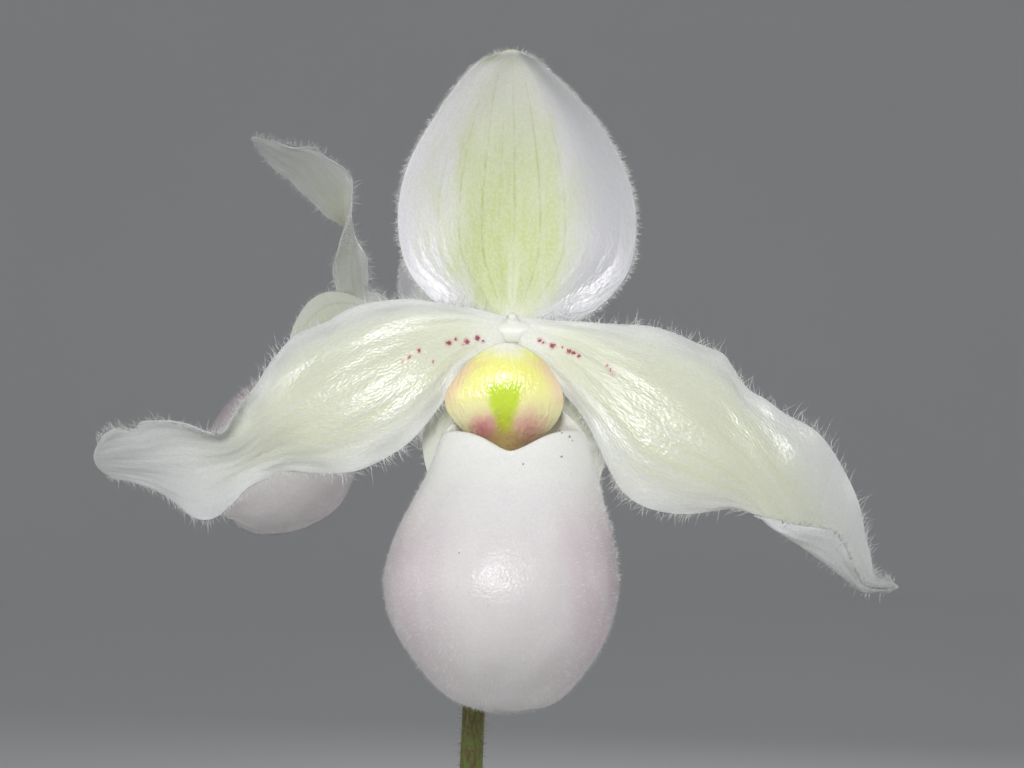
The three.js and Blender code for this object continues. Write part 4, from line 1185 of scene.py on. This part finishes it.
def petal_relief(u, v, ridge, swelling):
    """Fine lengthwise ridges, soft folds, a ruffled margin, a raised ridge and one swelling or hollow."""
    ridges = 0.03 * np.sin(TURN * (4.5 * v + 0.25 * np.sin(6 * u))) * smooth(u, 0.03, 0.2)
    folds = 0.12 * np.sin(17 * u + 4 * v) * np.sin(7 * v + 5 * u + 1)
    ruffle = 0.22 * np.sin(50 * u + 3 * np.sign(v)) * smooth(np.abs(v), 0.7, 1)
    raised = ridge * bell(v, 0.66, 0.17) * (1 - smooth(u, 0.42, 0.6))
    height, along_u, width_u, along_v = swelling
    swollen = height * bell(v, along_v, 0.3) * bell(u, along_u, width_u * np.where(u < along_u, 1, 1.9))
    return (ridges + folds + ruffle + raised + swollen) * smooth(u, 0, 0.1) * smooth(1 - u, 0, 0.08)


def dorsal_across(u, v):
    """Where the veins run: they draw together at the root and stay apart towards the tip."""
    return v / (0.62 + 0.38 * smooth(u, 0, 0.35) + 0.35 * smooth(u, 0.6, 1))


def dorsal_relief(u, v):
    across = dorsal_across(u, v)
    grooves = sum(strength * bell(across, place, 0.03) for place, strength in DORSAL_VEINS)
    pleats = 0.06 * np.sin(23 * across + 6 * u + 2) * np.sin(41 * across - 9 * u) * (1 - smooth(u, 0.2, 0.5))
    corners = -0.55 * bell(np.abs(v) - 0.05 * np.sign(v), 0.72, 0.24) * bell(u, 0.23, 0.11)
    dimples = 0.1 * np.sin(15 * u + 2) * np.sin(9 * v + 3)
    return (0.03 * grooves + pleats + corners + dimples) * smooth(u, 0, 0.06) * smooth(1 - u, 0, 0.1)


def sepal_keel(u, v):
    return 0.4 * bell(v, 0, 0.07) * smooth(u, 0.05, 0.3) * smooth(1 - u, 0, 0.08)


def petal_keel(u, v):
    return 0.3 * bell(v, 0, 0.06) * smooth(u, 0.02, 0.2) * smooth(1 - u, 0.02, 0.3)


def from_notch(turn):
    return np.mod(turn - NOTCH_ANGLE + 540, 360) - 180


def mouth_height(turn):
    off = from_notch(turn)
    off = np.abs(off / np.where(off < 0, *NOTCH_WIDTHS))
    return around(MOUTH_HEIGHTS, turn) - NOTCH_DEPTH * np.exp(-(off ** NOTCH_POINT))


def pouch_point(turn, t, inset):
    """A point of the pouch's wall, moved in by inset: t is 0 at the mouth and 1 at the toe."""
    table = np.linspace(0, 1, 2001)
    start = np.interp(-mouth_height(turn), -along(POUCH_LEVELS, table), table)
    share = start + (1 - start) * t
    front, back = along(POUCH_FRONTS, share), along(POUCH_BACKS, share)
    half_width = np.maximum(along(POUCH_HALF_WIDTHS, share) - inset, 0.2)
    depth = np.maximum((back - front) / 2 - inset, 0.2)
    angle = np.radians(turn)
    return stacked(along(POUCH_LEANS, share) + half_width * np.sin(angle),
                   (front + back) / 2 - depth * np.cos(angle),
                   along(POUCH_LEVELS, share) + inset * smooth(share, 0.55, 1))


def pouch(sides, levels):
    turns = np.arange(sides) * 360 / sides
    angles = np.radians(turns)

    def ring(t, inset):
        return pouch_point(turns, np.full(sides, t), inset)

    def outer(t):
        dimples = 0.09 * np.sin(angles * 7 + 9 * t) * np.sin(13 * t + angles * 2) * smooth(t, 0.02, 0.2)
        crease = 0.22 * bell(from_notch(turns), 0, 4) * smooth(0.34 - t, 0, 0.34)
        return ring(t, dimples + crease)

    shares = np.linspace(0, 1, levels)
    rings = [ring(1 - t, POUCH_WALL) for t in shares[::2]]
    for k in (0.8, 0.5, 0.2):
        rings.append(ring(0, POUCH_WALL * k) + UP * LIP_ROUND * math.sin(math.pi * k) ** 0.5)
    corners, faces = loft(np.array(rings + [outer(t) for t in shares]))
    return corners, faces, dict(place=corners)


def staminode(sides):
    lean = math.radians(SHIELD_LEAN)
    turns = np.arange(sides) * 360 / sides
    x, y, z = SHIELD_MIDDLE

    def ring(share, front):
        radius = around(SHIELD_RADII, turns) * share
        right, up = radius * np.sin(np.radians(turns)), radius * np.cos(np.radians(turns))
        groove = SHIELD_GROOVE * bell(right, 0, 1.3) * smooth(-up, -1, 4) * (1 - share ** 4)
        forward = SHIELD_CROWN * (1 - share ** 3) - groove if front else -SHIELD_THICKNESS * (1 - share ** 6)
        place = stacked(x + right, y + up * math.sin(lean) - forward * math.cos(lean),
                        z + up * math.cos(lean) + forward * math.sin(lean))
        return place, stacked(right, up, share)

    rings = [ring(s, False) for s in SHIELD_BACK] + [ring(s, True) for s in SHIELD_FRONT]
    corners, faces = loft(np.array([place for place, _ in rings]))
    form = np.concatenate([*[f for _, f in rings], np.zeros((2, 3))])
    shield = (corners, faces, dict(place=corners, form=form))
    column = tube(COLUMN_POINTS, lambda t: COLUMN_RADIUS + COLUMN_SWELL * t, 24, 16)
    knob, knob_faces = ball(np.linspace(math.pi - 0.06, 0.06, 14))
    knob = turned(knob * STIGMA_SIZE, math.radians(STIGMA_TILT)) + STIGMA_PLACE
    stigma = (knob, knob_faces, dict(place=knob))
    for part in (column, stigma):
        part[2]["form"] = np.tile(COLUMN_TONE, (len(part[0]), 1))
    return merged(shield, column, stigma)


def hub():
    """The white middle where petals and sepals grow together: rounded lumps, later melted into one."""
    points, faces = ball(np.linspace(0.05, math.pi - 0.05, 18))
    return merged(*[(points * size + place, faces, {}) for size, place in HUB_LUMPS])


def melted(made, voxel):
    """The object's closed lumps joined into one smooth skin."""
    remesh = made.modifiers.new("join", "REMESH")
    remesh.mode, remesh.voxel_size, remesh.use_smooth_shade = "VOXEL", voxel * MM, True
    soften = made.modifiers.new("soften", "SMOOTH")
    soften.factor, soften.iterations = 0.5, HUB_ROUNDS
    with bpy.context.temp_override(object=made, active_object=made):
        bpy.ops.object.modifier_apply(modifier="join")
        bpy.ops.object.modifier_apply(modifier="soften")


def ovary_points(root):
    reach = np.linalg.norm(root - OVARY_END)
    knee = OVARY_END + [0, reach * 0.3, 0.2]
    rise = root + (knee - root) * 0.45 + [0, 0, reach * 0.05]
    return [root, rise, knee, OVARY_END]


def ovary_radius(t):
    return OVARY_RADIUS * (0.55 + 0.45 * float(smooth(t, 0.15, 0.6)))


def bract_surface(points):
    shares = np.linspace(0, 1, 200)
    centres, headings = even_points(points, 200, BRACT_LENGTH)
    radii = np.array([ovary_radius(s * BRACT_LENGTH) for s in shares])
    sideways = unit(np.cross(headings, UP))
    down = -np.cross(headings, sideways)
    down[down[:, 2] > 0] *= -1

    def at(u, v):
        middle, below, across = (stacked(*[np.interp(u, shares, column) for column in rows.T])
                                 for rows in (centres, down, sideways))
        spread = np.radians(BRACT_SPREAD) * v * (1 - 0.93 * u ** 1.6)
        radius = np.interp(u, shares, radii) + BRACT_GAP + 2.6 * u * u
        return (middle + below * (radius * np.cos(spread))[..., None]
                + across * (radius * np.sin(spread))[..., None])

    return at


def margin_hairs(at, hairs_of, fine, rng, front, low=0.03, high=0.99, radius=0.034):
    """Hairs along both margins of a blade, leaning a little to its back."""
    count, length = many(hairs_of[0], fine), hairs_of[1]
    u = rng.uniform(low, high, count)
    v = rng.choice([-1.0, 1.0], count) * rng.uniform(0.97, 1, count)
    normal, across = surface_normal(at, u, v)
    ways = across * np.sign(v)[:, None] - normal * front * rng.uniform(0, 0.7, count)[:, None]
    lengths = length * rng.uniform(0.45, 1, count) * (1 - 0.45 * smooth(u, 0.5, 1))
    return hairs(at(u, v), ways, lengths, radius, rng, 3, 0.32, 0.28)


def back_hairs(at, hairs_of, fine, rng, front):
    """Hairs on the back of a blade, leaning towards its margins."""
    count, length = many(hairs_of[0], fine), hairs_of[1]
    u = rng.uniform(0.03, 0.98, count)
    v = rng.uniform(-1, 1, count)
    normal, across = surface_normal(at, u, v)
    roots = at(u, v) - normal * front * (blade_thickness(v) * 0.42)[:, None]
    ways = -normal * front + across * (0.5 * v)[:, None]
    return hairs(roots, ways, length * rng.uniform(0.4, 1, count), 0.03, rng, 2, 0.25, 0.16)


def pouch_down(fine, rng):
    """Short down all over the pouch's outer wall, shaded like the skin under it."""
    count, least, most, radius = POUCH_DOWN
    count = many(count, fine)
    turn, t = rng.uniform(0, 360, count), rng.uniform(0.01, 0.985, count) ** 0.9
    here = pouch_point(turn, t, 0.0)
    over = pouch_point(turn + 2, t, 0.0) - here
    below = pouch_point(turn, np.minimum(t + 0.01, 1), 0.0) - here
    way = unit(np.cross(below, over))
    down = hairs(here, way, rng.uniform(least, most, count), radius, rng, 1, 0.35, 0.15)
    down[2]["shade"] = np.repeat(unit(way - [0, 0.5, 0]), 4, axis=0)
    return down


def facing(place, direction, scale=1.0, roll=0.0):
    """To and from the frame of a flower at a place that faces a direction, tipped by roll degrees."""
    back = -unit(np.array(direction, float))
    right = unit(np.cross(back, UP))
    basis = np.stack([right, back, np.cross(right, back)], axis=1)
    c, s = math.cos(math.radians(-roll)), math.sin(math.radians(-roll))
    basis = basis @ np.array([[c, 0, s], [0, 1, 0], [-s, 0, c]])
    return lambda points: points @ basis.T * scale + place, lambda point: (point - place) @ basis / scale


def many(count, fine):
    return int(round(count * fine))


def flower(name, frames, stem_point, right_rails, leans, fine, finishes, seed):
    to_part, to_flower = frames
    rng = np.random.default_rng(seed)
    ovary = ovary_points(to_flower(np.array(stem_point)))
    left_at = nicked(rail_surface(PETAL_LEFT, leans["left"]), *TIP_NICK)
    right_at = nicked(rail_surface(right_rails), *SHOULDER_NICK)
    dorsal_at, lower_at = rail_surface(DORSAL, leans["dorsal"]), rail_surface(LOWER_SEPAL, leans["lower"])
    bract_at = bract_surface(ovary)

    def add(part, shape, finish, slot, *nodes):
        return piece(f"{name}_{part}", moved(shape, to_part), finishes[finish], slot,
                     *[f"{name}_{n}" for n in nodes])

    def fine_blade(at, rows, columns, *more):
        return blade(at, blade_thickness, many(rows, fine), many(columns, fine), *more)

    ribbed = tube(ovary, ovary_radius, 48, many(70, fine), OVARY_RIBS, RIB_DEPTH)
    add("ovary_ribbed", ribbed, "stem", "stem", "ovary")
    bract = blade(bract_at, lambda v: np.full_like(v, BRACT_THICKNESS), many(50, fine), 26)
    add("bract_blade", bract, "bract", "bract", "bract")
    if leans["dorsal"]:
        dorsal_at = narrowed(dorsal_at, REAR_DORSAL_SHARE)
    dorsal = fine_blade(dorsal_at, *DORSAL_STEPS, -1, dorsal_relief, sepal_keel, dorsal_across)
    add("dorsal_blade", dorsal, "dorsal", "sepal", "dorsal_sepal")
    lower = fine_blade(lower_at, *LOWER_STEPS, 1, None, sepal_keel)
    add("lower_blade", lower, "lower", "sepal", "lower_sepal")
    for side, at, front, form in (("left", left_at, -1, LEFT_FORM), ("right", right_at, 1, RIGHT_FORM)):
        shape = fine_blade(at, *PETAL_STEPS, front, lambda u, v: petal_relief(u, v, *form), petal_keel)
        add(f"{side}_petal_blade", shape, "petal", "petal", f"petal_{side}")
        fringe = margin_hairs(at, PETAL_FRINGE, fine, rng, front)
        nap = back_hairs(at, PETAL_NAP, fine, rng, front)
        add(f"{side}_petal_hairs", merged(fringe, nap), "hair", "petal")
    melted(add("hub", hub(), "hub", "petal"), HUB_VOXEL / fine)
    add("pouch_bowl", pouch(many(128, fine), many(84, fine)), "pouch", "pouch", "pouch")
    add("shield_and_column", staminode(many(96, fine)), "staminode", "staminode", "staminode")
    sepal_hairs = merged(margin_hairs(dorsal_at, DORSAL_FRINGE, fine, rng, -1, 0.02, 1, 0.036),
                         back_hairs(dorsal_at, DORSAL_NAP, fine, rng, -1),
                         margin_hairs(lower_at, SEPAL_FRINGE, fine, rng, 1),
                         back_hairs(lower_at, SEPAL_NAP, fine, rng, 1))
    add("sepal_hairs", sepal_hairs, "hair", "sepal")
    add("pouch_down", pouch_down(fine, rng), "hair", "pouch").visible_shadow = False
    count, least, most, radius = OVARY_DOWN
    roots, ways = tube_skin(ovary, ovary_radius, many(count, fine), rng, 0.03, 0.97)
    ovary_down = hairs(roots, ways, rng.uniform(least, most, len(roots)), radius, rng, 1)
    bract_down = margin_hairs(bract_at, BRACT_FRINGE, fine, rng, 1)
    add("ovary_down", merged(ovary_down, bract_down), "down", "stem")


# Studio

def studio():
    sides, steps = 96, 24
    profile = [(r, FLOOR_HEIGHT) for r in (2, 400, 1400, FLOOR_RADIUS)]
    for angle in np.linspace(0, math.pi / 2, steps + 1)[1:]:
        profile.append((FLOOR_RADIUS + COVE_RADIUS * math.sin(angle),
                        FLOOR_HEIGHT + COVE_RADIUS * (1 - math.cos(angle))))
    profile.append((FLOOR_RADIUS + COVE_RADIUS, WALL_HEIGHT))
    rings = profile_rings(profile, sides)
    faces = ring_faces(len(rings), sides) + [list(range(sides))[::-1]]
    placed("studio_floor", rings.reshape(-1, 3), faces, stage_material())


def lamp(name, kind, place, target, power, **settings):
    data = bpy.data.lights.new(name, kind)
    data.energy = power
    for key, value in settings.items():
        setattr(data, key, value)
    made = bpy.data.objects.new(name, data)
    made.location = Vector(place) * MM
    made.rotation_euler = (Vector(target) - Vector(place)).to_track_quat("-Z", "Y").to_euler()
    made.visible_camera = False
    bpy.context.scene.collection.objects.link(made)


def lights():
    lamp("key", "SPOT", KEY_PLACE, BLOOM_MIDDLE, KEY_POWER, shadow_soft_size=KEY_SIZE * MM,
         spot_size=math.radians(KEY_CONE), spot_blend=1)
    for name, place, power in SOFT_LIGHTS:
        lamp(name, "AREA", place, PLANT_MIDDLE, power, shape="DISK", size=SOFT_SIZE * MM)
    world = bpy.data.worlds.new("studio_air")
    world.use_nodes = True
    air = world.node_tree.nodes["Background"]
    air.inputs["Color"].default_value = AIR_COLOUR
    air.inputs["Strength"].default_value = AIR_STRENGTH
    bpy.context.scene.world = world


def camera():
    data = bpy.data.cameras.new("photo_camera")
    data.lens, data.sensor_width = LENS, SENSOR
    data.clip_start, data.clip_end = 0.01, 20
    made = bpy.data.objects.new("photo_camera", data)
    made.location = Vector(CAMERA_PLACE) * MM
    made.rotation_euler = (math.pi / 2, 0, 0)
    bpy.context.scene.collection.objects.link(made)
    bpy.context.scene.camera = made


def build():
    camera()
    lights()
    studio()
    stem_finish, down = stem_material(), down_material()
    finishes = dict(stem=stem_finish, bract=bract_material(), dorsal=dorsal_material(), down=down,
                    lower=lower_sepal_material(), petal=petal_material(), pouch=pouch_material(),
                    staminode=staminode_material(), hair=hair_material(), hub=hub_material())
    pot(pot_material())
    bark_mix(bark_material(), pebble_material(), moss_material())
    leaves(leaf_material())
    stem(stem_finish, down)
    bud(bud_material(), down)
    nodes = along(STEM_POINTS, np.array([FRONT_NODE, REAR_NODE]))
    flower("front", facing(FRONT_PLACE, [0, -1, 0]), nodes[0], PETAL_RIGHT, FRONT_LEANS, 1, finishes,
           FRONT_SEED)
    flower("rear", facing(REAR_PLACE, REAR_FACING, REAR_SCALE, REAR_ROLL), nodes[1], PETAL_RAISED,
           REAR_LEANS, REAR_FINENESS, finishes, REAR_SEED)


bpy.context.scene.view_settings.view_transform = "Standard"
build()
